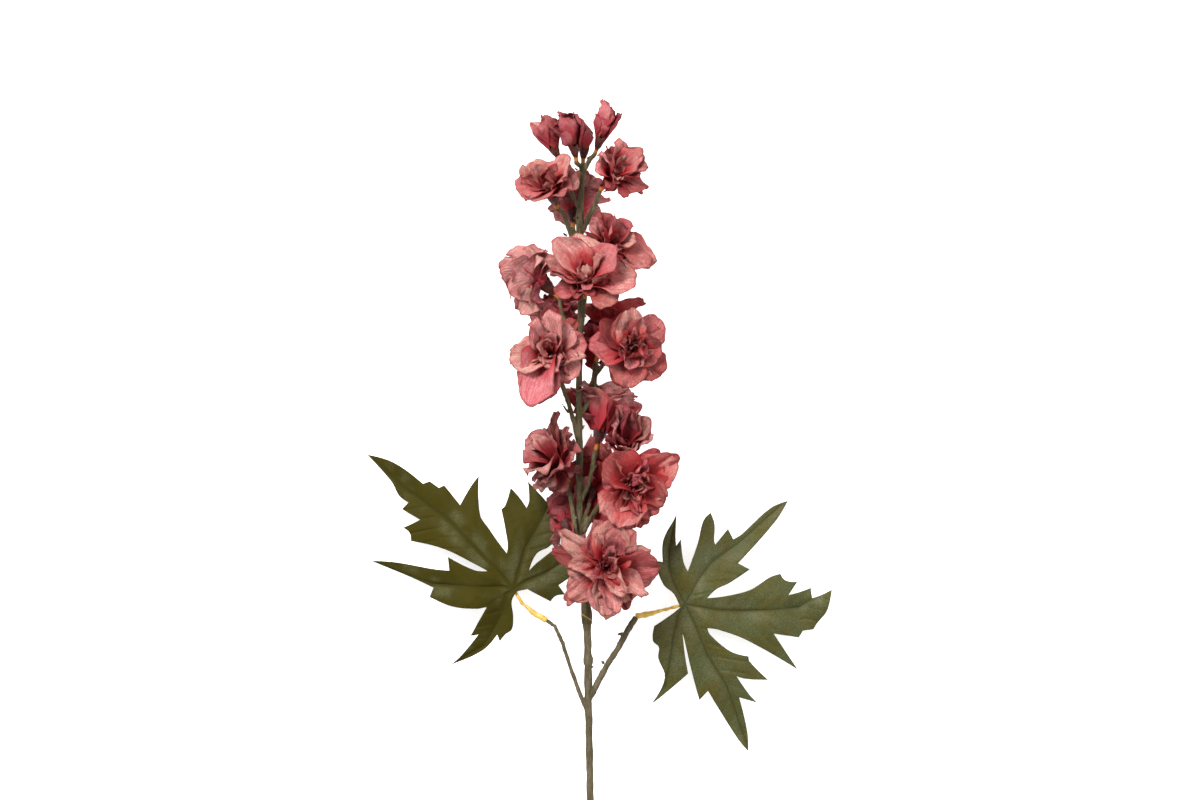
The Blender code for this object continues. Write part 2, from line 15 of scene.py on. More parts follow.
import bpy
import numpy as np
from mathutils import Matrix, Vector

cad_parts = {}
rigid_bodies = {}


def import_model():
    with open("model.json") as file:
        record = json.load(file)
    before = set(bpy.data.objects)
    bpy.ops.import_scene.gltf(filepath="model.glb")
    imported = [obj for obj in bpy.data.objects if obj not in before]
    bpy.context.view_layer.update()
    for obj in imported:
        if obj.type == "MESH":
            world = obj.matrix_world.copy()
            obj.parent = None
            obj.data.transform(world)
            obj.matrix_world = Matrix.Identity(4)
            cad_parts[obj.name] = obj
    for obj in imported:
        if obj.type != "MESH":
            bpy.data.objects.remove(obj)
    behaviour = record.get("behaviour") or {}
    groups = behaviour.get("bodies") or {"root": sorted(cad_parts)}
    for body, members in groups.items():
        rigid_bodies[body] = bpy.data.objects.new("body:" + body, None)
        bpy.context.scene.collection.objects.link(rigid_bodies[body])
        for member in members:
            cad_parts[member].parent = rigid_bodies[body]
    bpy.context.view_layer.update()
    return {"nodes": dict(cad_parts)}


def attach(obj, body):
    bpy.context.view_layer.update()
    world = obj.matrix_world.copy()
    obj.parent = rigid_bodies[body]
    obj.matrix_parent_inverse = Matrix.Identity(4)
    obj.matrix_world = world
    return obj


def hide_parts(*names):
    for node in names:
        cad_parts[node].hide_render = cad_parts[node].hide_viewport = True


MM = 0.001

for thing in list(bpy.data.objects):
    bpy.data.objects.remove(thing)
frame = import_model()

# %% [markdown]
# ## Camera, floor and light
#
# The photograph looks straight at the front of the spray, so with the spray lying on its back the camera
# looks straight down. One pixel of the 1200 pixel wide picture is 0.75 mm on the spray. A long lens from
# far away keeps the front blossoms from looking larger than they are. The light is what a catalogue uses:
# a big soft light at the top left, a weaker one at the right, an even white surround, and a white table
# that is lit from below, so that hardly a shadow shows on it.

# %% Camera
PICTURE_WIDTH = 900.0
PICTURE_CENTRE = (0.25, 127.0)
SPRAY_MIDDLE_HEIGHT = 35.0
CAMERA_DISTANCE = 7000.0
SENSOR_WIDTH = 36.0

camera_data = bpy.data.cameras.new("camera")
camera_data.sensor_width = SENSOR_WIDTH
camera_data.lens = SENSOR_WIDTH * CAMERA_DISTANCE / PICTURE_WIDTH
camera = bpy.data.objects.new("camera", camera_data)
camera.location = Vector((*PICTURE_CENTRE, SPRAY_MIDDLE_HEIGHT + CAMERA_DISTANCE)) * MM
bpy.context.scene.collection.objects.link(camera)
bpy.context.scene.camera = camera
print("lens", round(camera_data.lens), "mm")

# %% Floor
FLOOR_SIZE = 12000.0
FLOOR_LOOK = {"Base Color": (0.80, 0.80, 0.80, 1), "Roughness": 0.9, "Emission Color": (1, 1, 1, 1),
              "Emission Strength": 0.74}

bpy.ops.mesh.primitive_plane_add(size=FLOOR_SIZE * MM, location=(0, 0, 0))
floor = bpy.context.object
floor.name = "floor"
paper = bpy.data.materials.new("floor_paper")
paper.use_nodes = True
for label, value in FLOOR_LOOK.items():
    paper.node_tree.nodes["Principled BSDF"].inputs[label].default_value = value
floor.data.materials.append(paper)
print("floor", FLOOR_SIZE, "mm wide")

# %% Lights and surround
SURROUND_STRENGTH = 0.58


def soft_light(name, place, size, power):
    """A square soft light at a place in mm, turned to the middle of the spray."""
    data = bpy.data.lights.new(name, "AREA")
    data.size = size * MM
    data.energy = power
    lamp = bpy.data.objects.new(name, data)
    lamp.location = Vector(place) * MM
    toward = Vector((*PICTURE_CENTRE, SPRAY_MIDDLE_HEIGHT)) - Vector(place)
    lamp.rotation_euler = toward.to_track_quat("-Z", "Y").to_euler()
    bpy.context.scene.collection.objects.link(lamp)


soft_light("key", place=(-1100, 1500, 1900), size=1000, power=108)
soft_light("fill", place=(1600, 300, 1700), size=1500, power=28)
world = bpy.data.worlds.new("surround")
world.use_nodes = True
world.node_tree.nodes["Background"].inputs["Color"].default_value = (1, 1, 1, 1)
world.node_tree.nodes["Background"].inputs["Strength"].default_value = SURROUND_STRENGTH
bpy.context.scene.world = world
bpy.context.scene.view_settings.view_transform = "Standard"

# %% [markdown]
# ## Small helpers
#
# Blender's operators act on what is selected and active, and loading the frame leaves its nodes selected.
# So each step first drops the selection. A finished piece sits at the origin with its place in its mesh,
# rides on the spray's one body, and says which CAD node it stands for.

# %% Selecting, joining and handing in
pieces_made = []


def select_only(*things):
    for thing in bpy.context.view_layer.objects:
        thing.select_set(False)
    for thing in things:
        thing.select_set(True)
    if things:
        bpy.context.view_layer.objects.active = things[0]


def copied(master):
    """A copy with a mesh of its own."""
    piece = master.copy()
    piece.data = master.data.copy()
    bpy.context.scene.collection.objects.link(piece)
    return piece


def joined(pieces, name):
    """All pieces as one object."""
    select_only(*pieces)
    if len(pieces) > 1:
        bpy.ops.object.join()
    whole = bpy.context.view_layer.objects.active
    whole.name = name
    return whole


def modified(piece, kind, **settings):
    """Adds a modifier with these settings and applies it."""
    select_only(piece)
    step = piece.modifiers.new(kind.lower(), kind)
    for name, value in settings.items():
        setattr(step, name, value)
    bpy.ops.object.modifier_apply(modifier=step.name)


def hand_in(piece, cad_node, material):
    """Gives a finished piece its material and puts it in the place of its CAD node."""
    piece.data.materials.clear()
    piece.data.materials.append(material)
    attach(piece, "root")
    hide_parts(cad_node)
    pieces_made.append(piece)


def triangles(pieces):
    return sum(len(face.vertices) - 2 for piece in pieces for face in piece.data.polygons)


# %% Reading and writing a mesh


def vectors_of(piece, kind):
    """A vector for each vertex: its place (co) in metres or its normal."""
    flat = np.empty(len(piece.data.vertices) * 3, np.float32)
    piece.data.vertices.foreach_get(kind, flat)
    return flat.reshape(-1, 3).astype(float)


def points_of(piece):
    return vectors_of(piece, "co") / MM


def set_points(piece, points):
    piece.data.vertices.foreach_set("co", (points * MM).astype(np.float32).ravel())
    piece.data.update()


def corners_in(piece):
    """The vertex at each corner of each face."""
    return np.array([loop.vertex_index for loop in piece.data.loops])


def set_map(piece, name, coordinates):
    """Gives a mesh this map, with two coordinates for each corner, in place of any other."""
    while piece.data.uv_layers:
        piece.data.uv_layers.remove(piece.data.uv_layers[0])
    piece.data.uv_layers.new(name=name).data.foreach_set("uv", coordinates.astype(np.float32).ravel())


# %% Smooth steps and smooth chance


def smooth_step(low, high, value):
    part = np.clip((value - low) / (high - low), 0, 1)
    return part * part * (3 - 2 * part)


def unevenness(rng, place, count, slow, fast):
    """A sum of sines along place: smooth and irregular, roughly between -1 and 1."""
    total = 0
    for _ in range(count):
        total = total + rng.uniform(0.5, 1) * np.sin(rng.uniform(slow, fast) * place + rng.uniform(0, 2 * pi))
    return total / np.sqrt(count)


def smooth_noise(rng, points, size, count=8):
    """Lumps of about this size over 3-D points, roughly between -1 and 1."""
    total = 0
    for _ in range(count):
        way = rng.normal(size=3)
        way *= rng.uniform(0.7, 1.4) * 2 * pi / (size * np.linalg.norm(way))
        total = total + np.sin(points @ way + rng.uniform(0, 2 * pi))
    return total / np.sqrt(count)


# %% [markdown]
# ## Finishes
#
# A shader is a tree of small nodes, and most of them do sums. Written out node by node, such a tree is
# hard to read. Here the output of a node is a `Value`, and a sum of values adds the nodes that do the sum.
# The patterns that several finishes share are node groups, built once: the pattern of a petal, the fine
# weave of the cloth, and the mottling of painted plastic.

# %% Values


class Value:
    """An output of a shader node, to reckon with."""

    def __init__(self, made, output=0):
        self.tree = made.id_data
        self.socket = made.outputs[output]

    def __add__(self, other):
        return maths("ADD", self, other)

    def __sub__(self, other):
        return maths("SUBTRACT", self, other)

    def __rsub__(self, other):
        return maths("SUBTRACT", other, self)

    def __mul__(self, other):
        return maths("MULTIPLY", self, other)

    def __truediv__(self, other):
        return maths("DIVIDE", self, other)

    def __rtruediv__(self, other):
        return maths("DIVIDE", other, self)

    def __abs__(self):
        return maths("ABSOLUTE", self)

    def clamped(self):
        self.socket.node.use_clamp = True
        return self


def plug(socket, value):
    """Links a value to an input, or sets the input to a number, vector or colour."""
    if isinstance(value, Value):
        value.tree.links.new(value.socket, socket)
    else:
        socket.default_value = value


def set_inputs(made, **inputs):
    for name, value in inputs.items():
        plug(made.inputs[name.replace("_", " ")], value)


def node(kind, settings=(), tree=None, **inputs):
    """Adds a node to the tree, or else to the tree that its inputs come from."""
    if tree is None:
        tree = next(value.tree for value in inputs.values() if isinstance(value, Value))
    made = tree.nodes.new("ShaderNode" + kind)
    for name, value in dict(settings).items():
        setattr(made, name, value)
    set_inputs(made, **inputs)
    return made


def outputs(made):
    """All values that a node gives, by name."""
    return {socket.name: Value(made, socket.name) for socket in made.outputs}


def maths(operation, *numbers):
    """A Math node on one or two numbers, at least one of them a value."""
    tree = next(number.tree for number in numbers if isinstance(number, Value))
    made = node("Math", {"operation": operation}, tree)
    for socket, number in zip(made.inputs, numbers):
        plug(socket, number)
    return Value(made)


# %% Nodes that the finishes use often


def blend(share, first, second):
    """The colour between two colours."""
    made = node("Mix", {"data_type": "RGBA", "clamp_factor": True}, share.tree)
    plug(made.inputs[0], share)
    for socket, colour in ((made.inputs[6], first), (made.inputs[7], second)):
        plug(socket, colour if isinstance(colour, Value) else (*colour, 1))
    return Value(made, 2)


def span(value, low, high, start=0.0, end=1.0):
    """Maps low..high smoothly to start..end."""
    return Value(node("MapRange", {"interpolation_type": "SMOOTHSTEP"}, Value=value, From_Min=low,
                      From_Max=high, To_Min=start, To_Max=end))


def scaled(vector, scale):
    return Value(node("Mapping", Vector=vector, Scale=scale))


def noise(vector, scale, detail, roughness, distortion=0.0):
    return Value(node("TexNoise", Vector=vector, Scale=scale, Detail=detail, Roughness=roughness,
                      Distortion=distortion), "Fac")


def bump(height, strength, distance, **under):
    return Value(node("Bump", Height=height, Strength=strength, Distance=distance, **under))


def new_group(name, inputs, output_names):
    """An empty node group and its two end nodes. An input with no default is a vector."""
    group = bpy.data.node_groups.new(name, "ShaderNodeTree")
    for label, default in inputs.items():
        kind = "NodeSocketVector" if default is None else "NodeSocketFloat"
        socket = group.interface.new_socket(label, in_out="INPUT", socket_type=kind)
        if default is not None:
            socket.default_value = default
    for label in output_names:
        group.interface.new_socket(label, in_out="OUTPUT", socket_type="NodeSocketFloat")
    return group, group.nodes.new("NodeGroupInput"), group.nodes.new("NodeGroupOutput")


def new_finish(name):
    """An empty material with its tree and its shader."""
    finish = bpy.data.materials.new(name)
    finish.use_nodes = True
    return finish, finish.node_tree, finish.node_tree.nodes["Principled BSDF"]


# %% [markdown]
# ### The pattern of a petal
#
# A real petal shows printed veins, a fine network of creases between them, a darker rim and blotches. One
# could paint all that on a picture, but it would be the same on every petal. Here each petal carries its
# own map: u runs across it and v from its base to its edge. Veins fan out from the base along lines of
# equal u, so noise that is stretched along v and sharpened gives them. The rim is where u or v reaches the
# border of the map.

# %% Petal pattern group
RIM_WIDTH = 0.05

petal_pattern, start, end = new_group(
    "petal_pattern", {"Map": None, "Phase": 0.0}, ("Along", "Veins", "Network", "Rim", "Blotches", "Height"))
parts = outputs(node("SeparateXYZ", Vector=Value(start, "Map")))
flat_map = Value(node("CombineXYZ", X=parts["X"], Y=parts["Y"], Z=Value(start, "Phase") * 40.0))
fan = noise(scaled(flat_map, (14, 2.0, 1)), 1.0, 2.0, 0.55, 0.9)
veins = (1.0 - abs(fan - 0.5) * 9.0).clamped()
net = noise(scaled(flat_map, (10, 8, 1)), 1.5, 4.0, 0.62, 1.1)
network = (1.0 - abs(net - 0.5) * 11.0).clamped()
to_edge = maths("MINIMUM", 0.5 - abs(parts["X"] - 0.5), 1.0 - parts["Y"])
ragged = to_edge + (net - 0.5) * 0.05
rim = (1.0 - ragged / RIM_WIDTH).clamped()
blotches = noise(scaled(flat_map, (2.6, 2.2, 1)), 1.0, 3.0, 0.55, 0.4)
set_inputs(end, Along=parts["Y"], Veins=veins, Network=network, Rim=rim, Blotches=blotches,
           Height=veins * -0.6 + network * -0.35 + fan * 0.7)
print("group", petal_pattern.name, len(petal_pattern.nodes), "nodes")

# %% [markdown]
# ### Weave and mottling
#
# Cloth shows a fine weave when one comes close, so petals and leaves share a small group that gives its
# height. Painted plastic is never even: the second group gives broad patches, small specks, and ridges
# that run along the stem.

# %% Weave group
weave, start, end = new_group("weave", {"Vector": None, "Threads per mm": 3.0}, ["Height"])
parts = outputs(node("SeparateXYZ", Vector=Value(start, "Vector")))
turns = Value(start, "Threads per mm") * (pi / MM)
warp, weft = maths("SINE", parts["X"] * turns), maths("SINE", parts["Y"] * turns)
set_inputs(end, Height=warp * weft * 0.5)
print("group", weave.name, len(weave.nodes), "nodes")

# %% Mottling group
mottling, start, end = new_group(
    "mottling", {"Vector": None, "Patch size": 5.0, "Stretch": 0.2}, ("Patches", "Specks", "Ridges"))
place = Value(start, "Vector")
patch_scale = 1.0 / MM / Value(start, "Patch size")
stretch = node("VectorMath", {"operation": "MULTIPLY"}, Vector=place)
plug(stretch.inputs[1], Value(node("CombineXYZ", X=1.0, Y=Value(start, "Stretch"), Z=1.0)))
set_inputs(end, Patches=noise(Value(stretch), patch_scale, 3.0, 0.6),
           Specks=noise(place, patch_scale * 5.0, 2.0, 0.7),
           Ridges=noise(Value(stretch), patch_scale * 4.0, 2.0, 0.5))
print("group", mottling.name, len(mottling.nodes), "nodes")

# %% [markdown]
# ### Petal cloth
#
# Polyester dyed wine red at the base and airbrushed from mauve pink to peach at the edge. The dark base is
# partly that dye and partly painted shade, for the hollow of each blossom. The colours of one petal are
# decided by three numbers that it carries: tint (mauve to peach), shade (dark to light) and phase, which
# shifts the pattern so that no two petals are the same. The shade is partly the cloth's own tone and partly
# painted light and shade: darker on petals that lie in shadow, lighter on those in the light. One function
# colours every kind of cloth, because the kinds differ only in how deep their base is and how far it
# reaches.

# %% Petal material
WINE = (0.075, 0.0005, 0.002)
OCHRE = (0.24, 0.075, 0.014)
MAROON = (0.120, 0.010, 0.014)
BELL_RED = (0.205, 0.014, 0.018)
DEEP_ROSE = (0.300, 0.017, 0.020)
RIM_RED = (0.150, 0.018, 0.016)
BUD_ROSE = (0.320, 0.036, 0.046)
MAUVE_PINK = (0.380, 0.138, 0.155)
PEACH = (0.415, 0.280, 0.230)
THROAT_FADE = 0.55
VEIN_DYE = 0.42
NETWORK_DYE = 0.50
RIM_DYE = 0.65


def petal_finish(name, throat, throat_end, deep, fade_end):
    """Petal cloth: the throat colour fades out at throat_end of its length and the deep one at fade_end."""
    finish, tree, shader = new_finish(name)
    petal_map = Value(node("UVMap", {"uv_map": "petal"}, tree))
    tint_and_painted_shade = Value(node("Attribute", {"attribute_name": "tint_and_painted_shade"}, tree), "Color")
    tint, shade, phase = outputs(node("SeparateColor", Color=tint_and_painted_shade)).values()
    marks = outputs(node("Group", {"node_tree": petal_pattern}, Map=petal_map, Phase=phase))
    wander = (marks["Blotches"] - 0.5) * 0.7
    along = marks["Along"] + wander
    edge_colour = blend((tint + wander * 0.9).clamped(), MAUVE_PINK, PEACH)
    # The deep and throat colours at the base are partly dye and partly painted shade in the blossom's hollow.
    colour = blend(span(along, 0.24, fade_end), deep, edge_colour)
    colour = blend(span(along, max(0.02, throat_end - THROAT_FADE), throat_end), throat, colour)
    colour = blend(marks["Veins"] * VEIN_DYE, colour, deep)
    colour = blend(marks["Network"] * NETWORK_DYE, colour, deep)
    colour = blend(marks["Rim"] * RIM_DYE, colour, RIM_RED)
    # Painted light and shade: a low shade mixes in the deep colour and darkens the petal where it lies in
    # shadow, and a high shade lightens it where it is in the light.
    colour = blend(span(shade, 0.25, 0.95, 0.65, 0.0), colour, deep)
    lit = Value(node("HueSaturation", Value=span(shade, 0.0, 1.0, 0.52, 1.30), Color=colour))
    place = Value(node("TexCoord", (), tree), "Object")
    threads = Value(node("Group", {"node_tree": weave}, Vector=place))
    fine = bump(threads, 0.12, 0.1 * MM)
    set_inputs(shader, Base_Color=lit, Roughness=span(marks["Blotches"], 0.3, 0.7, 0.72, 0.88),
               Normal=bump(marks["Height"], 0.8, 0.6 * MM, Normal=fine), Specular_IOR_Level=0.05,
               Subsurface_Weight=0.04, Subsurface_Radius=(1.0, 0.35, 0.3), Subsurface_Scale=2.0 * MM)
    return finish


CLOTHS = {
    "open": petal_finish("petal_cloth", WINE, 0.42, DEEP_ROSE, 0.80),
    "pale": petal_finish("pale_cloth", WINE, 0.30, DEEP_ROSE, 0.56),
    "rosy": petal_finish("rosy_cloth", WINE, 0.42, DEEP_ROSE, 1.15),
    # The side cloth's short, light base is painted light: it keeps the petals of blossom 09 light where they
    # turn away from the key light.
    "side": petal_finish("side_cloth_painted_light", DEEP_ROSE, 0.1, BUD_ROSE, 0.42),
    "back": petal_finish("outside_cloth", DEEP_ROSE, 0.18, BUD_ROSE, 0.68),
    "bell": petal_finish("bell_cloth", MAROON, 0.75, BELL_RED, 0.92),
    "heart": petal_finish("heart_cloth", WINE, 0.55, DEEP_ROSE, 1.0),
    # The shadow cloth is painted shade: dark almost to the edge, for blossoms and hearts that lie in shadow.
    "shadow": petal_finish("shadow_cloth", WINE, 0.80, DEEP_ROSE, 1.15),
    "bud": petal_finish("bud_cloth", OCHRE, 0.22, BUD_ROSE, 0.75),
}
print("cloths", [finish.name for finish in CLOTHS.values()])

# %% [markdown]
# ### Painted plastic
#
# The stems are moulded in dull olive plastic, greyer toward the foot. The cups are brushed with dark
# maroon paint that stops short of the peg, so the peg stays orange; on blossoms 19 and 21 the paint covers
# the peg too, painted shade that keeps it as dark as the shaded petals round it. The leaf pins are left
# bare yellow.
# A plain colour would do for each from afar, but the photograph shows brush marks and worn spots. So all
# of them are mixed from the same mottling, in patches of different sizes.

# %% Stem, cup and pin materials
STEM_OLIVE = (0.058, 0.048, 0.018)
STEM_GREY = (0.125, 0.098, 0.055)
STEM_BROWN = (0.050, 0.026, 0.014)
FOOT_LIGHT = (0.125, 0.100, 0.060)
FOOT_DARK = (0.072, 0.058, 0.030)
SLEEVE_LINE = (0.42, 0.27, 0.055)
CUP_MAROON = (0.034, 0.006, 0.008)
CUP_BROWN = (0.078, 0.018, 0.012)
PEG_ORANGE = (0.38, 0.13, 0.016)
PIN_YELLOW = (0.50, 0.29, 0.030)
PIN_LIGHT = (0.66, 0.45, 0.10)


def mottled_finish(name, patch_size, stretch=1.0):
    """A new finish with its place and the mottling's marks."""
    finish, tree, shader = new_finish(name)
    place = Value(node("TexCoord", (), tree), "Object")
    marks = node("Group", {"node_tree": mottling}, Vector=place, Patch_size=patch_size, Stretch=stretch)
    return finish, tree, shader, place, outputs(marks)


def stem_finish(name, light, dark, line=None):
    """Ridged, mottled plastic. line is (height, slope) of the ochre edge of the sleeve, in metres."""
    finish, tree, shader, place, marks = mottled_finish(name, 3.2, 0.22)
    colour = blend(span(marks["Patches"], 0.38, 0.66), dark, light)
    colour = blend(span(marks["Specks"], 0.56, 0.74, 0, 0.7), colour, STEM_BROWN)
    colour = blend(span(marks["Ridges"], 0.5, 0.72, 0, 0.55), colour, STEM_GREY)
    if line is not None:
        parts = outputs(node("SeparateXYZ", Vector=place))
        away = abs(parts["Y"] + parts["X"] * line[1] - line[0])
        colour = blend(span(away, 0.3 * MM, 0.8 * MM, 0.9, 0.0), colour, SLEEVE_LINE)
    set_inputs(shader, Base_Color=colour, Roughness=span(marks["Patches"], 0.3, 0.7, 0.62, 0.82),
               Normal=bump(marks["Ridges"], 0.9, 1.2 * MM), Specular_IOR_Level=0.15)
    return finish


def cup_finish(name, paint_start):
    """Brushed paint from paint_start of the cup's length on, and bare orange plastic below."""
    finish, tree, shader, place, marks = mottled_finish(name, 4.0)
    turned = Value(node("UVMap", {"uv_map": "turned"}, tree))
    height = Value(node("SeparateXYZ", Vector=turned), "Y")
    brushed = height + (marks["Patches"] - 0.5) * 0.35
    paint = blend(span(marks["Patches"], 0.35, 0.65), CUP_MAROON, CUP_BROWN)
    colour = blend(span(brushed, paint_start, paint_start + 0.12), PEG_ORANGE, paint)
    set_inputs(shader, Base_Color=colour, Roughness=span(marks["Specks"], 0.3, 0.7, 0.45, 0.7),
               Normal=bump(marks["Specks"], 0.35, 0.4 * MM), Specular_IOR_Level=0.2)
    return finish


def pin_finish(name):
    finish, tree, shader, place, marks = mottled_finish(name, 4.5)
    colour = blend(span(marks["Patches"], 0.4, 0.65), PIN_YELLOW, PIN_LIGHT)
    set_inputs(shader, Base_Color=colour, Roughness=span(marks["Specks"], 0.3, 0.7, 0.35, 0.55),
               Normal=bump(marks["Patches"], 0.3, 0.6 * MM))
    return finish


upper_stem_plastic = stem_finish("upper_stem_plastic", STEM_GREY, STEM_OLIVE, (-0.0420, 0.62))
lower_stem_plastic = stem_finish("lower_stem_plastic", FOOT_LIGHT, FOOT_DARK)
# The whole cup paint covers the peg too: painted shade, for blossoms 19 and 21.
CUP_PAINTS = {"bare": cup_finish("cup_paint", 0.22), "painted_shade": cup_finish("whole_cup_painted_shade", -1.0)}
pin_plastic = pin_finish("bare_yellow_plastic")
print("materials", len(bpy.data.materials))

# %% [markdown]
# ## Where each blossom sits
#
# Nothing about the blossoms' places is typed in twice. The CAD cup tells where a blossom is and which way
# it faces: its wide end is the seat of the petals, and the peg points back. Round a CAD whorl the rim runs
# notch, shoulder, tip, shoulder, so the rim's far points give the tip of every petal.

# %% Read a blossom from the frame
OUTER_RIM_POINTS = 4
INNER_RIM_POINTS = 2
CUP_END = 0.5
SAME_ANGLE = 0.01


def corners_of(name):
    return np.unique(points_of(frame["nodes"][name]).round(3), axis=0)


def cup_axes(number):
    """Seat, and across, along and out as rows, of a blossom, read from its cup."""
    points = corners_of(f"cup_{number}")
    middle = points.mean(axis=0)
    out = np.linalg.svd(points - middle)[2][0]
    height = (points - middle) @ out
    rim = points[height > height.max() - CUP_END]
    end = points[height < height.min() + CUP_END]
    if np.ptp(rim, axis=0).max() < np.ptp(end, axis=0).max():
        rim, end = end, rim
    seat = rim.mean(axis=0)
    out = (seat - end.mean(axis=0)) / np.linalg.norm(seat - end.mean(axis=0))
    across = np.cross([0, 0, 1], out)
    across /= np.linalg.norm(across)
    return seat, np.array([across, np.cross(out, across), out])


def rim_points(name, seat, turn):
    """The farthest point of a CAD whorl at each of its angles, in the blossom's own frame."""
    local = (corners_of(name) - seat) @ turn.T
    angle = np.arctan2(local[:, 1], local[:, 0])
    order = np.argsort(angle)
    angle, local = angle[order], local[order]
    groups = np.split(local, np.flatnonzero(np.diff(angle) > SAME_ANGLE) + 1)
    if angle[0] + 2 * pi - angle[-1] < SAME_ANGLE:
        groups[0] = np.vstack([groups.pop(), groups[0]])
    return np.array([group[np.argmax(np.linalg.norm(group, axis=1))] for group in groups])


def petal_tips(name, seat, turn, points_per_petal):
    """(angle, reach, rise) of each petal of a CAD whorl."""
    rim = rim_points(name, seat, turn)
    size = np.linalg.norm(rim, axis=1)
    notch = min(range(points_per_petal), key=lambda k: size[k::points_per_petal].mean())
    tips = rim[(notch + points_per_petal // 2) % points_per_petal::points_per_petal]
    return [(atan2(y, x), hypot(x, y), z) for x, y, z in tips]


blossoms = {}
for index in range(1, 22):
    number = f"{index:02d}"
    seat, turn = cup_axes(number)
    blossoms[number] = {"seat": seat, "turn": turn,
                        "outer": petal_tips(f"outer_petals_{number}", seat, turn, OUTER_RIM_POINTS)}
    if f"inner_petals_{number}" in frame["nodes"]:
        blossoms[number]["inner"] = petal_tips(f"inner_petals_{number}", seat, turn, INNER_RIM_POINTS)
print("blossoms", len(blossoms), "outer petals", sum(len(b["outer"]) for b in blossoms.values()))

# %% [markdown]
# ## One petal
#
# A real petal is a flat cut of cloth that was pressed in a hot mould. Here it starts as a flat grid, the
# primitive with the cleanest rows, and a formula does what the mould does: it rolls the narrow base round
# the blossom's axis, opens the blade, cups it, folds it, crinkles it along the veins and ruffles its edge.
# Moving rows by hand could give one good petal, but there are several hundred and each is different, so
# the mould is a function with named settings. Solidify gives the cloth its thickness afterwards.

# %% Settings of the mould
MOULD = {
    "width": 1.25,      # 1 is a petal about as wide as it is long
    "point": 0.0,       # 0 is a round end, 1 a pointed one
    "cup": 0.45,        # how far the sides come up
    "roll": 0.12,       # how far the edges turn back again
    "curl": 0.0,        # how far the tip bends up, or down where negative
    "belly": 0.0,       # how far the middle swells out
    "fold": 0.0,        # a lengthwise fold
    "fold_at": 0.0,     # where that fold is, from -1 to 1 across
    "ruffle": 2.0,      # height of the waves round the edge
    "waves": 4.2,       # how many of them
    "frill": 0.5,       # height of the fine frills of the edge
    "crease": 0.40,     # height of the creases along the veins
    "crumple": 0.75,    # height of the crumples all over
    "sweep": 0.0,       # how far the petal bends sideways
    "twist": 0.0,       # how far it turns about its own length
    "face": 0.0,        # such a turn for the petals that are placed one by one
    "tilt": 0.10,       # lifts one side, so that neighbours overlap like tiles
    "tint": 0.5,        # 0 is mauve, 1 is peach
    # The shade is partly the cloth's own tone and partly painted light and shade on the petal.
    "shade": 0.5,       # 0 is dark, 1 is light
}
print("settings", len(MOULD))

# %% The blade of a petal
REACH_POWER = 1.25
RISE_POWER = 1.6


def blade_part(across, along, point, rng):
    """How far along the petal each point of the grid is, once the end is cut round or pointed."""
    part = along * (1 - (0.30 + 0.34 * point) * np.abs(across) ** (2.5 - 1.3 * point) * along ** 1.4)
    return np.maximum(part + 0.020 * unevenness(rng, across, 5, 3, 14) * along ** 4, 0.0)


def blade_side(across, along, half, point, rng):
    """How far each point is off the middle line: narrow at the base, widest past the middle."""
    spread = 0.27 + 0.73 * np.sin(np.minimum(along / 0.64, 1) * pi / 2) ** 1.1
    spread = spread * (1 - (0.16 + 0.3 * point) * smooth_step(0.66, 1, along))
    spread = spread * (1 + 0.035 * unevenness(rng, along, 3, 6, 17) * smooth_step(0.3, 1, np.abs(across)))
    return across * half * spread


def middle_line(part, start, reach, rise):
    """Radius and height of the middle line from the seat to the tip, and the way that is up from it."""
    run, climb = reach - start[0], rise - start[1]
    left = np.maximum(1 - part, 0)
    slope_r = run * REACH_POWER * part ** (REACH_POWER - 1) + 0.3
    slope_h = climb * RISE_POWER * left ** (RISE_POWER - 1)
    slope = np.hypot(slope_r, slope_h)
    radius = start[0] + run * part ** REACH_POWER
    height = start[1] + climb * (1 - left ** RISE_POWER)
    return radius, height, -slope_h / slope, slope_r / slope


# %% The edge and the surface of a petal
PLEATS = 5
CRUMPLE_SIZES = (11.0, 5.5)


def edge_waves(across, along, style, rng):
    """How far the waves and frills round the edge lift it, and how far they shift it sideways."""
    rim = smooth_step(0.5, 1.0, (across ** 4 + along ** 4) ** 0.25)
    around = np.arctan2(across, along - 0.25)
    waves = unevenness(rng, around, 3, 0.7 * style["waves"], 1.5 * style["waves"])
    shift = 0.5 * style["ruffle"] * rim ** 2 * unevenness(rng, around, 2, 4, 9) * along
    frills = unevenness(rng, around, 3, 7, 13)
    return style["ruffle"] * rim ** 1.4 * waves + style["frill"] * rim ** 3 * frills, shift


def pleats_and_fold(across, along, half, style, rng):
    """The lift of the creases along the veins, of the fold and of the rolled edge."""
    pleats = 0
    for _ in range(PLEATS):
        pleats = pleats + 0.45 - np.abs(np.sin(rng.uniform(3, 9) * across + rng.uniform(0, pi)))
    lift = style["crease"] * 0.6 * pleats * (0.25 + 0.75 * along)
    lift += style["fold"] * half * np.abs(across - style["fold_at"]) * along
    return lift - style["roll"] * half * smooth_step(0.55, 1.05, np.abs(across)) ** 2 * along


def crumples(side, middle, along, rng):
    flat = np.stack([side, middle, 0 * side], axis=1)
    coarse, fine = [smooth_noise(rng, flat, size, 6) for size in CRUMPLE_SIZES]
    return (0.55 - np.abs(coarse) + 0.4 * fine) * smooth_step(0.05, 0.6, along)


# %% The mould
SHRINK = 0.97
BOW = 1.06


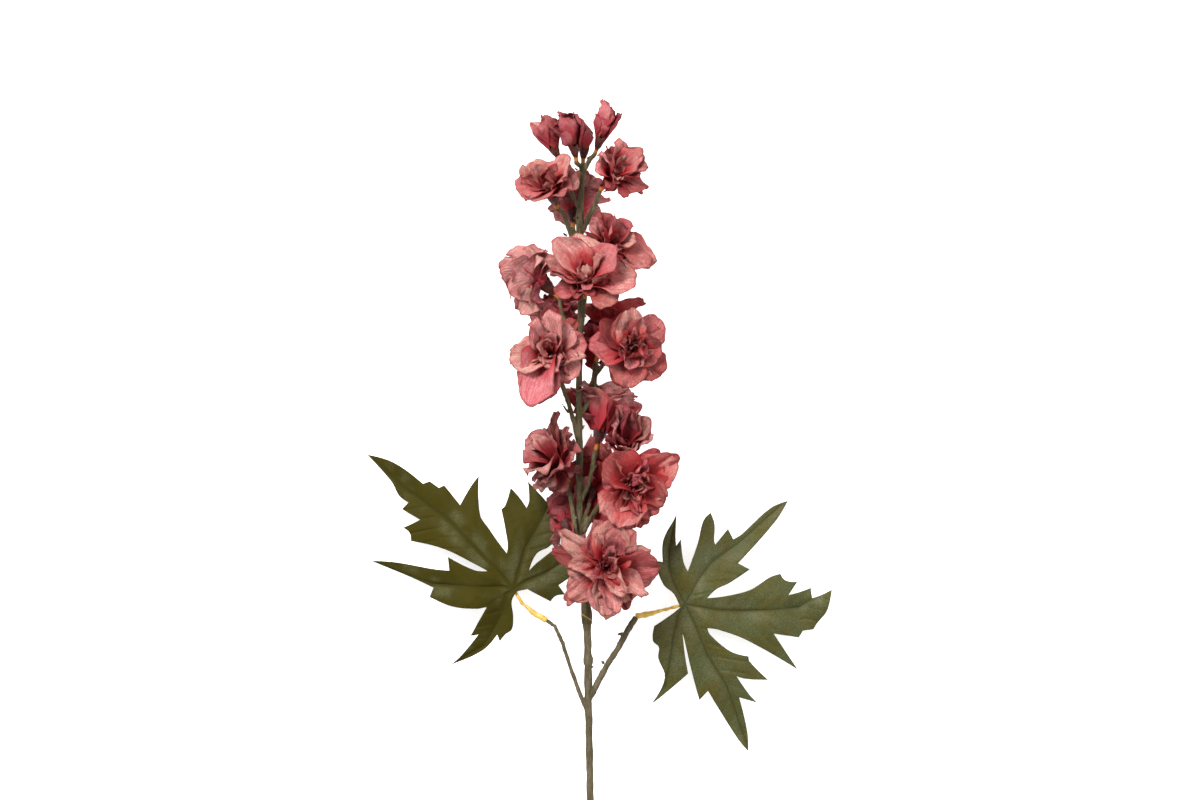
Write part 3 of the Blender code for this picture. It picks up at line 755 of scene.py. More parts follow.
def moulded(across, along, tip, start, style, rng):
    """The grid's points in the blossom's frame. across runs -1..1 and along 0..1."""
    angle, reach, rise = tip[0], SHRINK * tip[1], SHRINK * tip[2]
    length = BOW * hypot(reach - start[0], rise - start[1])
    half = style.get("half", style["width"] * (3.5 + 0.33 * length))
    part = blade_part(across, along, style["point"], rng)
    side = blade_side(across, along, half, style["point"], rng)
    radius, height, up_r, up_h = middle_line(part, start, reach, rise)
    hug = (1 - along) ** 2 / (start[0] + 1.2) + style["cup"] * along / half
    wave_lift, wave_shift = edge_waves(across, along, style, rng)
    lift = 0.5 * hug * side ** 2 + wave_lift + pleats_and_fold(across, along, half, style, rng)
    lift = lift + style["curl"] * length * smooth_step(0.45, 1.05, along) ** 1.5 * 0.5
    lift = lift + style["tilt"] * side - style["belly"] * np.sin(pi * part)
    lift = lift + style["crumple"] * crumples(side, part * length, along, rng)
    flank = side * (1 - np.clip(hug * side, -1, 1) ** 2 / 6) + wave_shift
    flank = flank + style["sweep"] * length * along ** 2
    cosine, sine = np.cos(style["twist"] * along), np.sin(style["twist"] * along)
    flank, lift = flank * cosine - lift * sine, flank * sine + lift * cosine
    out_r = radius + up_r * lift
    return np.stack([out_r * cos(angle) - flank * sin(angle), out_r * sin(angle) + flank * cos(angle),
                     height + up_h * lift], axis=1)


# %% Petal blanks and whorls
CLOTH_THICKNESS = 0.32
FLOOR_MARGIN = 0.45
FLOOR_SOFTNESS = 1
CEILING = 72.0
CEILING_SOFTNESS = 6
TINT_SPREAD = 0.2
SHADE_SPREAD = 0.07


def petal_blank(columns, rows):
    """A flat grid with its map, cut and ready for the mould."""
    select_only()
    bpy.ops.mesh.primitive_grid_add(x_subdivisions=columns, y_subdivisions=rows, size=2)
    blank = bpy.context.object
    blank.data.uv_layers[0].name = "petal"
    blank.data.shade_smooth()
    return blank


BLANKS = {"broad": petal_blank(22, 24), "medium": petal_blank(18, 18), "small": petal_blank(12, 14),
          "strip": petal_blank(4, 12)}


def petal(blank, blossom, tip, start, style, rng):
    """One moulded petal in its place on the spray, bent away from the floor and the ceiling."""
    piece = copied(BLANKS[blank])
    grid = points_of(piece) * MM
    local = moulded(-grid[:, 0], (grid[:, 1] + 1) / 2, tip, start, style, rng)
    points = blossom["seat"] + local @ blossom["turn"]
    low = points[:, 2] < FLOOR_MARGIN + FLOOR_SOFTNESS
    points[low, 2] = FLOOR_MARGIN + np.exp(points[low, 2] - FLOOR_MARGIN - FLOOR_SOFTNESS)
    high = points[:, 2] > CEILING
    over = np.exp((CEILING - points[high, 2]) / CEILING_SOFTNESS)
    points[high, 2] = CEILING + CEILING_SOFTNESS * (1 - over)
    set_points(piece, points)
    tint = min(max(style["tint"] + rng.normal() * TINT_SPREAD, 0), 1)
    shade = min(max(style["shade"] + rng.normal() * SHADE_SPREAD, 0), 1)
    colour = np.tile([tint, shade, rng.uniform(), 1.0], len(points))
    # Tint, shade and phase ride on the petal as a colour attribute; the shade paints light and shade.
    tint_and_painted_shade = piece.data.attributes.new("tint_and_painted_shade", "FLOAT_COLOR", "POINT")
    tint_and_painted_shade.data.foreach_set("color", colour.astype(np.float32))
    return piece


def hand_in_whorl(name, petals, cloth):
    """Joins petals into one piece of cloth, gives it its thickness and hands it in."""
    piece = joined(petals, f"{name}_cloth")
    modified(piece, "SOLIDIFY", thickness=CLOTH_THICKNESS * MM, offset=0.0, use_even_offset=False)
    hand_in(piece, name, cloth)


print("blanks", {name: triangles([piece]) for name, piece in BLANKS.items()})

# %% [markdown]
# ## The outer whorls
#
# Every outer petal of the frame becomes one moulded petal. The real blossoms are double, so more petals
# stand inside. A rule could spread them evenly, but in the photograph each blossom is crushed in its own
# way, so a table places them one by one. The style of a blossom is a few changes to the mould's settings.

# %% Styles
STYLES = {
    "bud": dict(width=1.15, point=0.5, cup=1.5, roll=0.0, belly=3.6, curl=0.14, ruffle=0.5, crumple=0.4,
                tint=0.35),
    "open": {},
    "pale": dict(width=1.2, shade=0.7),
    "rosy": dict(width=1.1, frill=1.0, shade=0.64),
    "bell": dict(cup=0.5, roll=0.35, ruffle=2.4, waves=6.0, frill=1.6, shade=0.65),
    # The side style, for blossom 09, has a high shade: painted light for petals turned from the key light.
    "side": dict(width=1.4, cup=0.2, roll=0.2, ruffle=0.6, frill=0.1, crease=0.2, crumple=0.4, face=1.0,
                 tint=0.45, shade=0.9),
    "back": {},
    # The shadow style is painted shade too: dark, for blossoms that lie in shadow.
    "shadow": dict(tint=0.35, shade=0.35),
}
print("styles", list(STYLES))

# %% What sets each blossom apart
# Its style, the cloth, size and shade of its heart, the paint of its peg, and changes to the style.
# Shade and heart_shade are partly the cloth's own tone and partly painted light and shade; the shadow kind
# and the shadow heart are painted shade, for blossoms and hearts that lie in shadow.
PLAIN = dict(kind="open", heart="heart", heart_size=1.0, heart_shade=0.7, peg="bare")
TRAITS = {
    "01": dict(kind="bud"),
    "02": dict(kind="bud"),
    "03": dict(kind="bud", width=0.8),
    "04": dict(kind="bud", width=0.75, belly=2.2),
    "05": dict(heart_shade=0.85, width=1.1, shade=0.6),
    "06": dict(width=0.8, shade=0.42),
    "07": dict(kind="back", tint=0.65, shade=0.8),
    "08": dict(shade=0.85),
    "09": dict(kind="side", heart_shade=0.9),
    "10": dict(heart_shade=0.9),
    "11": dict(kind="back", tint=0.3, shade=1.0),
    "12": dict(kind="pale", heart_shade=0.95),
    "13": dict(heart_shade=0.85),
    "14": dict(kind="shadow", shade=0.7),
    "15": dict(kind="back", width=1.9, ruffle=1.4, cup=0.5, roll=0.2, tint=0.7, shade=0.95),
    "16": dict(kind="bell", heart="shadow", heart_size=0.7, heart_shade=0.2, width=1.1, cup=0.8, shade=0.9),
    "17": dict(kind="bell", heart="shadow", heart_size=0.55, heart_shade=0.15, width=1.4),
    "18": dict(kind="rosy", heart_size=0.8),
    # The pegs of blossoms 19 and 21 are painted over: painted shade, as dark as the shaded petals round them.
    "19": dict(kind="shadow", peg="painted_shade", tint=0.2),
    "20": dict(heart_size=0.75, width=0.95, frill=0.8, tint=0.6, shade=0.72),
    "21": dict(kind="back", peg="painted_shade", tint=0.4),
}
print("hearts in the shade", [number for number, traits in TRAITS.items() if "heart" in traits])

# %% Single outer petals that differ from the rest of their blossom
# They are named by their order round the rim. Their shade, as in the blossom, is partly painted light and
# shade.
SINGLE = {
    "06": {0: dict(width=0.7), 3: dict(width=1.1, tint=0.3, shade=1.0, twist=-0.7, cup=0.1),
           4: dict(width=0.5), 5: dict(width=0.4)},
    "09": {order: dict(tint=0.5, twist=1.0) for order in (0, 2, 3, 4)},
    "10": {0: dict(shade=0.8), 1: dict(shade=0.8, tint=0.6), 2: dict(width=1.4, shade=0.9, tint=0.75)},
    "12": {1: dict(shade=0.95), 2: dict(shade=0.95, tint=0.45), 3: dict(shade=0.95, tint=0.85),
           4: dict(shade=0.8, tint=0.15)},
    "15": {3: dict(width=2.1, shade=0.85, cup=1.0)},
    "20": {4: dict(width=1.0), 6: dict(width=0.6, tint=0.9, shade=0.8), 7: dict(width=0.9, tint=0.8)},
}
print("single petals", sum(len(changes) for changes in SINGLE.values()))

# %% Petals placed one by one
# For each blossom: the tip's place right, up and forward of the seat and the petal's width, all in mm,
# then its tint, its shade and how far its tip curls, in percent. The shade is partly the cloth's own tone
# and partly painted light and shade.
PLACED = {
    "01": [(-18, 15, 3, 14, 95, 75, 10), (-4, 21, 8, 18, 30, 60, 25), (3, 17, 5, 11, 20, 50, 20)],
    "02": [(-1, 20, 9, 13, 30, 50, 20), (-12, 20, 6, 15, 35, 60, 10), (-11, 3, 10, 10, 30, 55, 50),
        (-19, 15, 3, 11, 30, 50, 10), (-7, 17, 12, 10, 30, 60, 30)],
    "04": [(-1, 26, 7, 14, 35, 65, 15), (5, 22, 2, 7, 30, 50, 10), (16, 17, 3, 8, 25, 60, 5),
        (2, 11, 9, 9, 40, 60, 40)],
    "05": [(16, 25, 12, 20, 95, 80, 25), (-14, 22, 10, 14, 80, 65, 20), (-3, 17, 14, 10, 50, 45, 30),
        (-23, 7, 8, 12, 70, 60, 20), (-10, -4, 8, 11, 55, 50, 20), (14, 10, 12, 8, 30, 35, 80),
        (6, 16, 16, 8, 60, 50, 60), (-5, 5, 14, 7, 90, 70, 50)],
    "06": [(1, 27, 10, 15, 50, 75, 10), (-8, 20, 12, 15, 90, 100, -10), (9, 17, 12, 7, 90, 75, 30),
        (24, 14, 8, 18, 60, 60, 25), (26, 4, 10, 15, 50, 55, 35), (18, -5, 14, 10, 40, 50, 35),
        (-6, -10, 8, 12, 30, 40, 20), (22, -15, 8, 6, 35, 60, 10), (27, -10, 6, 5, 40, 60, 10),
        (6, -4, 18, 7, 90, 95, 30)],
    "07": [(9, 31, 4, 18, 85, 60, 10), (22, 16, 0, 18, 80, 55, 10), (-13, 7, 0, 16, 30, 50, 10),
        (1, 20, 8, 15, 60, 50, 10)],
    "08": [(-9, 27, 10, 13, 50, 60, 10), (-19, 13, 4, 11, 20, 40, 10), (4, 23, 12, 16, 50, 70, 40),
        (20, 13, 10, 12, 30, 60, 20), (21, 2, 10, 10, 90, 80, 20), (35, -10, 4, 18, 70, 62, -10),
        (24, -22, 2, 18, 40, 60, -10), (-4, -10, 8, 10, 30, 40, 30), (10, -10, 8, 10, 20, 40, 20)],
    "09": [(-8, 25, 8, 21, 80, 95, 10), (-22, 14, 10, 22, 75, 100, 20), (-32, 8, 8, 12, 95, 100, 10),
        (-29, -1, 8, 14, 95, 100, 10), (-25, -10, 12, 21, 80, 95, 10), (-20, -22, 8, 16, 80, 95, 0),
        (-9, 5, 14, 14, 50, 80, 30), (2, 19, 6, 16, 50, 70, 10), (-8, -13, 8, 15, 40, 80, 10)],
    "10": [(-26, 30, 9, 24, 75, 85, 20), (22, 28, 12, 24, 65, 80, 30), (14, 16, 18, 6, 95, 50, 30),
        (-30, 20, 8, 15, 50, 70, 20), (-28, 9, 10, 14, 50, 75, 10), (-26, -4, 6, 15, 35, 65, 10),
        (-7, 14, 14, 4, 70, 40, 40), (-10, 5, 12, 7, 90, 55, 40), (1, 12, 16, 6, 95, 85, 40),
        (14, 2, 14, 9, 90, 55, 60), (-6, -8, 12, 10, 25, 45, 30), (38, -1, 4, 21, 85, 75, 5),
        (20, -9, 8, 10, 30, 50, 10), (-18, -15, 2, 14, 50, 60, 20)],
    "11": [(14, 10, 8, 24, 20, 20, 10), (11, 20, 6, 18, 20, 20, 10), (-20, 8, 4, 16, 50, 60, 10),
        (-11, 14, 6, 14, 40, 50, 20), (21, 1, 2, 22, 20, 20, 10), (18, -11, 0, 20, 20, 20, 10)],
    "12": [(-10, 26, 8, 15, 50, 100, 20), (12, 27, 14, 20, 70, 100, 45), (22, 25, 4, 15, 80, 50, 10),
        (-10, 9, 13, 4, 95, 40, 10), (-5, 10, 13, 4, 95, 40, 10), (0, 8, 13, 4, 95, 40, 10),
        (-32, 4, 3, 16, 85, 90, 10), (-32, -8, 2, 14, 90, 90, 10), (-28, -34, 14, 30, 30, 80, -10),
        (3, -16, 22, 14, 30, 100, 30), (10, -8, 12, 10, 10, 65, 60), (26, -5, 12, 16, 90, 85, 30),
        (19, -17, 8, 11, 60, 70, 30)],
    "13": [(-33, 5, 8, 26, 25, 60, 10), (-4, 31, 8, 20, 75, 95, 15), (17, 20, 6, 20, 35, 60, 10),
        (18, -1, 8, 14, 90, 65, 20), (4, 14, 16, 4, 95, 40, 20), (8, 10, 16, 4, 95, 40, 20),
        (-2, 11, 15, 4, 95, 35, 20), (-10, 4, 14, 10, 10, 70, 60), (-2, -11, 14, 10, 10, 30, 60),
        (9, -10, 14, 9, 10, 35, 60), (-9, -29, 2, 26, 30, 35, 10), (16, -22, 4, 18, 70, 65, 10),
        (-26, 20, 4, 16, 30, 30, 10)],
    "14": [(-9, 18, 8, 26, 20, 20, 10), (9, 25, 8, 26, 15, 25, 10), (-8, -20, 4, 18, 20, 35, 20),
        (2, -14, 6, 16, 30, 35, 30), (33, 30, 6, 22, 60, 50, 10), (-8, -5, 0, 18, 30, 30, 10),
        (-16, 4, -2, 20, 20, 20, 10)],
    "15": [(26, 23, 8, 16, 85, 80, 20), (-22, 28, 8, 16, 50, 75, 10), (2, 29, 12, 24, 70, 95, 30),
        (-22, 14, 6, 12, 30, 55, 10), (12, 20, 14, 20, 60, 85, 20)],
    "16": [(-10, 26, 8, 14, 30, 60, 40), (-3, 28, 12, 10, 20, 40, 40), (5, 26, 8, 12, 40, 60, 40),
        (22, 18, 4, 15, 90, 65, 10), (13, 26, 6, 15, 90, 55, 20), (-15, 10, 8, 10, 35, 60, 30),
        (10, 3, 10, 10, 40, 55, 30), (-6, 10, 12, 9, 20, 50, 40)],
    "17": [(-28, 20, 4, 12, 60, 80, -20), (-18, 26, 4, 15, 50, 85, -20), (-5, 27, 2, 16, 40, 80, 10),
        (4, 35, 6, 7, 40, 60, 50), (10, 25, 6, 9, 30, 50, 40), (-28, 6, 4, 15, 60, 85, -20),
        (-24, -8, 6, 14, 70, 90, -30), (-15, -19, 6, 18, 80, 85, -30), (-2, -21, 4, 16, 60, 60, -10),
        (14, -4, 2, 14, 30, 50, -10)],
    "18": [(-26, 16, 10, 28, 40, 50, 10), (-16, 24, 6, 18, 50, 55, 10), (-3, 24, 4, 15, 50, 45, 10),
        (36, 19, 8, 18, 45, 42, -10), (20, 26, 6, 16, 50, 45, 0), (25, -3, 8, 14, 70, 80, 20),
        (20, -18, 10, 16, 60, 65, 30), (5, 20, 18, 7, 10, 95, 50), (-4, 3, 18, 7, 10, 90, 60),
        (4, 10, 16, 10, 60, 70, 50), (12, -2, 16, 10, 70, 65, 50), (4, -22, 12, 9, 20, 100, 0),
        (-18, -28, 6, 22, 85, 75, 10), (-8, -34, 4, 20, 90, 65, 5), (9, -32, 2, 21, 50, 50, 5)],
    "19": [(2, 29, 4, 30, 20, 35, 10), (-15, 16, 4, 28, 20, 35, 10), (14, 19, 6, 26, 20, 40, 10),
        (18, -10, 6, 26, 30, 45, 10), (-9, -14, 2, 28, 20, 35, 10), (2, -26, 8, 26, 20, 35, 10),
        (-18, 2, 8, 24, 30, 50, 10), (14, 34, 8, 26, 30, 50, 10), (-3, 40, 10, 22, 50, 60, 10)],
    "20": [(16, 32, 6, 30, 85, 80, 10), (30, 19, 4, 21, 90, 75, 10), (-7, 37, 2, 16, 95, 60, 10),
        (-4, 27, 12, 10, 70, 80, 30), (-14, 23, 8, 15, 30, 55, 20), (11, 25, 14, 16, 30, 75, 50),
        (20, 15, 12, 10, 20, 70, 40), (10, 16, 18, 10, 30, 80, 50), (12, 4, 18, 8, 30, 75, 60),
        (-33, 31, 6, 13, 95, 85, -20), (-43, 13, -6, 15, 70, 55, 10), (-28, 3, 8, 16, 90, 75, 10),
        (-28, -31, 3, 15, 50, 85, 0), (-7, -39, 4, 22, 70, 90, 10), (2, -34, 9, 16, 60, 85, 40),
        (12, -34, 2, 14, 40, 45, 10), (17, -18, 14, 15, 50, 90, 60), (28, -23, 8, 18, 60, 85, 30),
        (40, -7, 6, 22, 50, 55, 10), (-10, -12, 14, 8, 40, 80, 70)],
    "21": [(15, -10, 12, 14, 60, 60, 10), (-12, -17, 6, 15, 70, 55, 10), (-8, 17, 4, 18, 20, 30, 10),
        (24, 31, 4, 14, 50, 75, 30), (7, 17, 0, 20, 15, 20, 10)],
}


def placed_tip(blossom, right, up, forward):
    """The (angle, reach, rise) of a place given right, up and forward of the blossom's seat."""
    x, y, z = blossom["turn"] @ np.array([right, up, forward])
    return atan2(y, x), hypot(x, y), z


print("placed petals", sum(len(petals) for petals in PLACED.values()))

# %% Make the outer whorls
OUTER_SEED = 100
OUTER_START = (3.6, -2.0)
PLACED_START = (1.8, 0.3)
HALF_WIDTH = 0.66  # a half, and a third more for what the petal's curve hides

for number, blossom in blossoms.items():
    rng = np.random.default_rng(OUTER_SEED + int(number))
    traits = {**PLAIN, **TRAITS[number]}
    kind = traits["kind"]
    style = {**MOULD, **STYLES[kind], **traits}
    petals = []
    for order, tip in enumerate(blossom["outer"]):
        varied = {**style, "sweep": rng.normal() * 0.07, "twist": rng.normal() * 0.2,
                  "fold": rng.uniform(-0.2, 0.35), "fold_at": rng.normal() * 0.3,
                  **SINGLE.get(number, {}).get(order, {})}
        petals.append(petal("broad", blossom, tip, OUTER_START, varied, rng))
    for right, up, forward, width, tint, shade, curl in PLACED.get(number, ()):
        varied = {**style, "half": HALF_WIDTH * width, "tint": tint / 100, "shade": shade / 100,
                  "curl": curl / 100, "cup": 1.0 if kind == "bud" else 0.4, "point": 0.1,
                  "sweep": rng.normal() * 0.12, "twist": style["face"] + rng.normal() * 0.3,
                  "fold": rng.uniform(-0.35, 0.5), "fold_at": rng.normal() * 0.3}
        tip = placed_tip(blossom, right, up, forward)
        petals.append(petal("medium", blossom, tip, PLACED_START, varied, rng))
    hand_in_whorl(f"outer_petals_{number}", petals, CLOTHS[kind])
print("outer whorls", len(pieces_made), "triangles", triangles(pieces_made))

# %% [markdown]
# ## The inner whorls
#
# The heart of a double blossom is a crowd of small curled petals and a fan of thin, pointed strips round
# a throat that is almost black. That darkness is partly dye and partly painted shade, which the heart cloth
# gives. No two hearts are alike and none can be read closely in the photograph, so chance decides the
# size, the curl and the twist of their petals, from a seed that is kept.

# %% Make the inner whorls
INNER_SEED = 200
INNER = dict(cup=0.9, roll=0.1, ruffle=0.9, crease=0.2)
INNER_START = (1.2, 1.0)
SECOND_START = (0.9, 1.4)
STRIP = dict(width=0.13, point=1.0, cup=0.3, ruffle=0.2, crease=0.0, tint=0.9, shade=0.35)
STRIP_START = (0.6, 1.6)
STRIPS = 8

for number, blossom in blossoms.items():
    if "inner" not in blossom:
        continue
    rng = np.random.default_rng(INNER_SEED + int(number))
    traits = {**PLAIN, **TRAITS[number]}
    size = traits["heart_size"]
    petals = []
    for angle, reach, rise in blossom["inner"]:
        reach, rise = reach * size * rng.uniform(0.7, 1.35), rise * size * rng.uniform(0.7, 1.05)
        # heart_shade is partly the heart's own tone and partly painted shade, dark where the heart lies deep
        # in shadow.
        varied = {**MOULD, **INNER, "curl": rng.uniform(-0.1, 0.6), "twist": rng.normal() * 0.3,
                  "shade": traits["heart_shade"], "width": rng.uniform(0.6, 0.85)}
        petals.append(petal("small", blossom, (angle, reach, rise), INNER_START, varied, rng))
        if rng.uniform() < 0.5:
            varied = {**varied, "curl": rng.uniform(0.0, 0.7), "tint": 0.8}
            tip = (angle + rng.uniform(0.3, 0.6), reach * rng.uniform(0.35, 0.7),
                   rise * rng.uniform(0.7, 1.0))
            petals.append(petal("small", blossom, tip, SECOND_START, varied, rng))
    for _ in range(STRIPS):
        lean = radians(rng.uniform(40, 85))
        length = rng.uniform(8, 13)
        tip = (rng.uniform(-pi, pi), length * cos(lean), length * sin(lean))
        petals.append(petal("strip", blossom, tip, STRIP_START, {**MOULD, **STRIP}, rng))
    hand_in_whorl(f"inner_petals_{number}", petals, CLOTHS[traits["heart"]])
for blank in BLANKS.values():
    bpy.data.objects.remove(blank)
print("whorls", len(pieces_made), "triangles", triangles(pieces_made))

# %% [markdown]
# ## Cups
#
# Each blossom sits in a little cup with a peg. On a bench one would turn it; here a circle is extruded
# ring by ring, and each ring is resized. Five soft lobes and a waved rim keep it from looking like a
# cone. The cup is modelled twice, once for the open blossoms and once for the buds, and copied.

# %% Turn a cup
CUP_SIDES = 30
CUP_LOBES = 5
LOBE_DEPTH = 0.055
LOBE_HEIGHT = 0.9
OPEN_PROFILE = [(1.65, -16.5), (1.65, -16.2), (1.65, -11.9), (2.1, -11.2), (3.0, -9.6), (3.9, -7.4),
                (4.6, -5.0), (5.1, -2.6), (5.5, -0.7), (5.6, 0.1), (5.3, 0.5), (4.9, 0.1), (4.4, -1.6),
                (3.4, -3.2), (1.6, -3.8)]
BUD_PROFILE = [(1.45, -13.4), (1.45, -13.1), (1.45, -9.7), (1.8, -9.1), (2.4, -7.8), (3.0, -5.9),
               (3.6, -3.8), (4.0, -1.9), (4.2, -0.5), (4.2, 0.1), (3.9, 0.4), (3.6, 0.0), (3.2, -1.4),
               (2.4, -2.4), (1.0, -2.8)]


def turned_cup(profile):
    """A cup about +Z with its rim at z = 0, from (radius, height) rings that start at the peg's end."""
    (radius, end), *rings = profile
    select_only()
    bpy.ops.mesh.primitive_circle_add(vertices=CUP_SIDES, radius=radius * MM, fill_type="NGON",
                                      location=(0, 0, end * MM))
    cup = bpy.context.object
    bpy.ops.object.mode_set(mode="EDIT")
    bpy.ops.mesh.select_all(action="SELECT")
    height = end
    for new_radius, new_height in rings:
        rise = (0, 0, (new_height - height) * MM)
        bpy.ops.mesh.extrude_region_move(TRANSFORM_OT_translate={"value": rise})
        ratio = new_radius / radius
        bpy.ops.transform.resize(value=(ratio, ratio, 1), center_override=(0, 0, new_height * MM))
        radius, height = new_radius, new_height
    bpy.ops.object.mode_set(mode="OBJECT")
    bpy.ops.object.transform_apply(location=True, rotation=True, scale=True)
    points = points_of(cup)
    angle = np.arctan2(points[:, 1], points[:, 0])
    lobe = np.cos(CUP_LOBES * angle) * smooth_step(0.75 * end, 0.0, points[:, 2])
    points[:, :2] *= (1 + LOBE_DEPTH * lobe)[:, None]
    points[:, 2] += LOBE_HEIGHT * lobe * smooth_step(-3.0, 0.0, points[:, 2])
    set_points(cup, points)
    modified(cup, "SUBSURF", levels=1, render_levels=1)
    at_corner = points_of(cup)[corners_in(cup)]
    around = np.arctan2(at_corner[:, 1], at_corner[:, 0]) / (2 * pi) + 0.5
    set_map(cup, "turned", np.stack([around, (at_corner[:, 2] - end) / -end], axis=1))
    cup.data.shade_smooth()
    return cup


CUP_MASTERS = {"open": turned_cup(OPEN_PROFILE), "bud": turned_cup(BUD_PROFILE)}
print("cup masters", {name: triangles([cup]) for name, cup in CUP_MASTERS.items()})

# %% Put a cup behind every blossom
CUP_SEED = 300
DENT_DEPTH = 0.12
DENT_SIZE = 4.0

for number, blossom in blossoms.items():
    rng = np.random.default_rng(CUP_SEED + int(number))
    traits = {**PLAIN, **TRAITS[number]}
    piece = copied(CUP_MASTERS["bud" if traits["kind"] == "bud" else "open"])
    piece.name = f"cup_{number}_turned"
    points = points_of(piece)
    spin = rng.uniform(0, 2 * pi)
    turned = np.array([[cos(spin), sin(spin), 0], [-sin(spin), cos(spin), 0], [0, 0, 1]])
    dents = DENT_DEPTH * smooth_noise(rng, points, DENT_SIZE)[:, None] * np.array([1, 1, 0])
    set_points(piece, blossom["seat"] + (points + dents) @ turned @ blossom["turn"])
    hand_in(piece, f"cup_{number}", CUP_PAINTS[traits["peg"]])
for master in CUP_MASTERS.values():
    bpy.data.objects.remove(master)
print("cups", len(blossoms))

# %% [markdown]
# ## Stems
#
# The two stems are moulded, so stalks grow out of the stem without a seam, and small thorn-like bracts
# stand on them. The CAD stem has the right run but sharp joints. A copy of it gets the bracts, is remade
# as one skin of small even squares, which melts the joints together, and is then pressed into shallow
# ridges that run lengthwise. The two leaf pins are remade in the same way, swollen toward the stem.

# %% Bracts
BRACT_SIDES = 10
BRACT_FOOT = 0.85
BRACT_TIP = 0.3
BRACT_RISE = 0.35
BRACT_ROOT = 1.0
# Where each bract grows: x, y, z of its foot, its direction in the picture in degrees, and its length.
BRACTS = {
    "upper": [
        (-25.3, 250.7, 36.0, 150, 5.0), (-17.6, 300.0, 36.5, 140, 2.6), (-5.6, 267.5, 36.6, 40, 7.5),
        (-8.6, 308.5, 37.5, 15, 2.2), (-29.6, 139.2, 37.0, 195, 3.6), (-24.0, 118.5, 38.5, 128, 9.0),
        (-2.2, 133.6, 36.0, 32, 7.0), (-6.5, 70.5, 34.5, 62, 10.5), (-13.0, 106.0, 36.5, 55, 4.2),
        (-19.3, 263.5, 37.5, 160, 2.0), (-11.6, 196.0, 38.5, 30, 2.0), (-12.0, 40.0, 36.5, 20, 2.2)],
    "lower": [
        (16.8, -48.9, 26.6, 176, 4.4), (18.0, -49.4, 26.6, -38, 4.0), (2.2, -69.8, 27.2, 135, 2.6),
        (-6.4, -73.6, 28.8, 20, 2.8), (-7.6, -96.0, 26.8, 5, 2.4)],
}


def bract(x, y, z, direction, length):
    """A thin pointed bract, a little raised from the stem it grows on."""
    select_only()
    lean = Vector((cos(radians(direction)), sin(radians(direction)), BRACT_RISE)).normalized()
    middle = Vector((x, y, z)) + lean * (length / 2 - BRACT_ROOT)
    bpy.ops.mesh.primitive_cone_add(vertices=BRACT_SIDES, radius1=BRACT_FOOT * MM, radius2=BRACT_TIP * MM,
                                    depth=length * MM, location=middle * MM,
                                    rotation=lean.to_track_quat("Z", "Y").to_euler())
    bpy.ops.object.transform_apply(location=True, rotation=True, scale=True)
    return bpy.context.object


def merged_copy(name, new_name):
    """A copy of a CAD node with its loose triangles joined at their corners."""
    piece = copied(frame["nodes"][name])
    for key in list(piece.keys()):
        del piece[key]
    piece.parent = None
    piece.name = new_name
    select_only(piece)
    bpy.ops.object.mode_set(mode="EDIT")
    bpy.ops.mesh.select_all(action="SELECT")
    bpy.ops.mesh.remove_doubles(threshold=0.01 * MM)
    bpy.ops.object.mode_set(mode="OBJECT")
    return piece


print("bracts", {name: len(rows) for name, rows in BRACTS.items()})

# %% Remake the stems as one skin
STEM_SEED = 400
STEM_SKIN = 0.62
STEM_SWELL = 0.28
RIDGE_HEIGHT = 0.26
RIDGE_SIZE = 1.6
LUMP_SIZE = 6.0
RIGHT_STALK = -8.0
RIGHT_STALK_SWELL = 0.55
SLEEVE_END = -39.6
SLEEVE_OVERLAP = 1.5
SMOOTHING = (0.6, -0.55)


def one_skin(piece, size, rounds):
    """Remade in even squares and smoothed. Every second step swells it again, so nothing shrinks."""
    modified(piece, "REMESH", mode="VOXEL", voxel_size=size * MM, use_smooth_shade=True)
    for factor in SMOOTHING * rounds:
        modified(piece, "SMOOTH", factor=factor, iterations=1)


def ridged(piece, rng):
    """Thickens a skin and presses shallow lengthwise ridges and soft lumps into it."""
    points, normals = points_of(piece), vectors_of(piece, "normal")
    rightward = smooth_step(RIGHT_STALK, RIGHT_STALK + 4, points[:, 0]) * smooth_step(-30, -40, points[:, 1])
    thicker = STEM_SWELL + RIGHT_STALK_SWELL * rightward
    ridges = smooth_noise(rng, points * np.array([1, 0.12, 1]), RIDGE_SIZE, 10)
    lumps = smooth_noise(rng, points * np.array([1, 0.5, 1]), LUMP_SIZE, 8)
    thicker = thicker + RIDGE_HEIGHT * (0.55 * ridges + 0.45 * lumps)
    set_points(piece, points + normals * thicker[:, None])
    piece.data.shade_smooth()


for end, finish in (("upper", upper_stem_plastic), ("lower", lower_stem_plastic)):
    name = f"stem_{end}"
    stem = joined([merged_copy(name, f"{name}_skin")] + [bract(*row) for row in BRACTS[end]], f"{name}_skin")
    one_skin(stem, STEM_SKIN, rounds=4)
    if end == "upper":
        points = points_of(stem)
        points[:, 1] -= SLEEVE_OVERLAP * smooth_step(SLEEVE_END + 3, SLEEVE_END, points[:, 1])
        set_points(stem, points)
    ridged(stem, np.random.default_rng(STEM_SEED))
    hand_in(stem, name, finish)
    print(stem.name, triangles([stem]), "triangles")

# %% Leaf pins
PIN_SEED = 500
PIN_SKIN = 0.45
STEM_LINE = -12.0

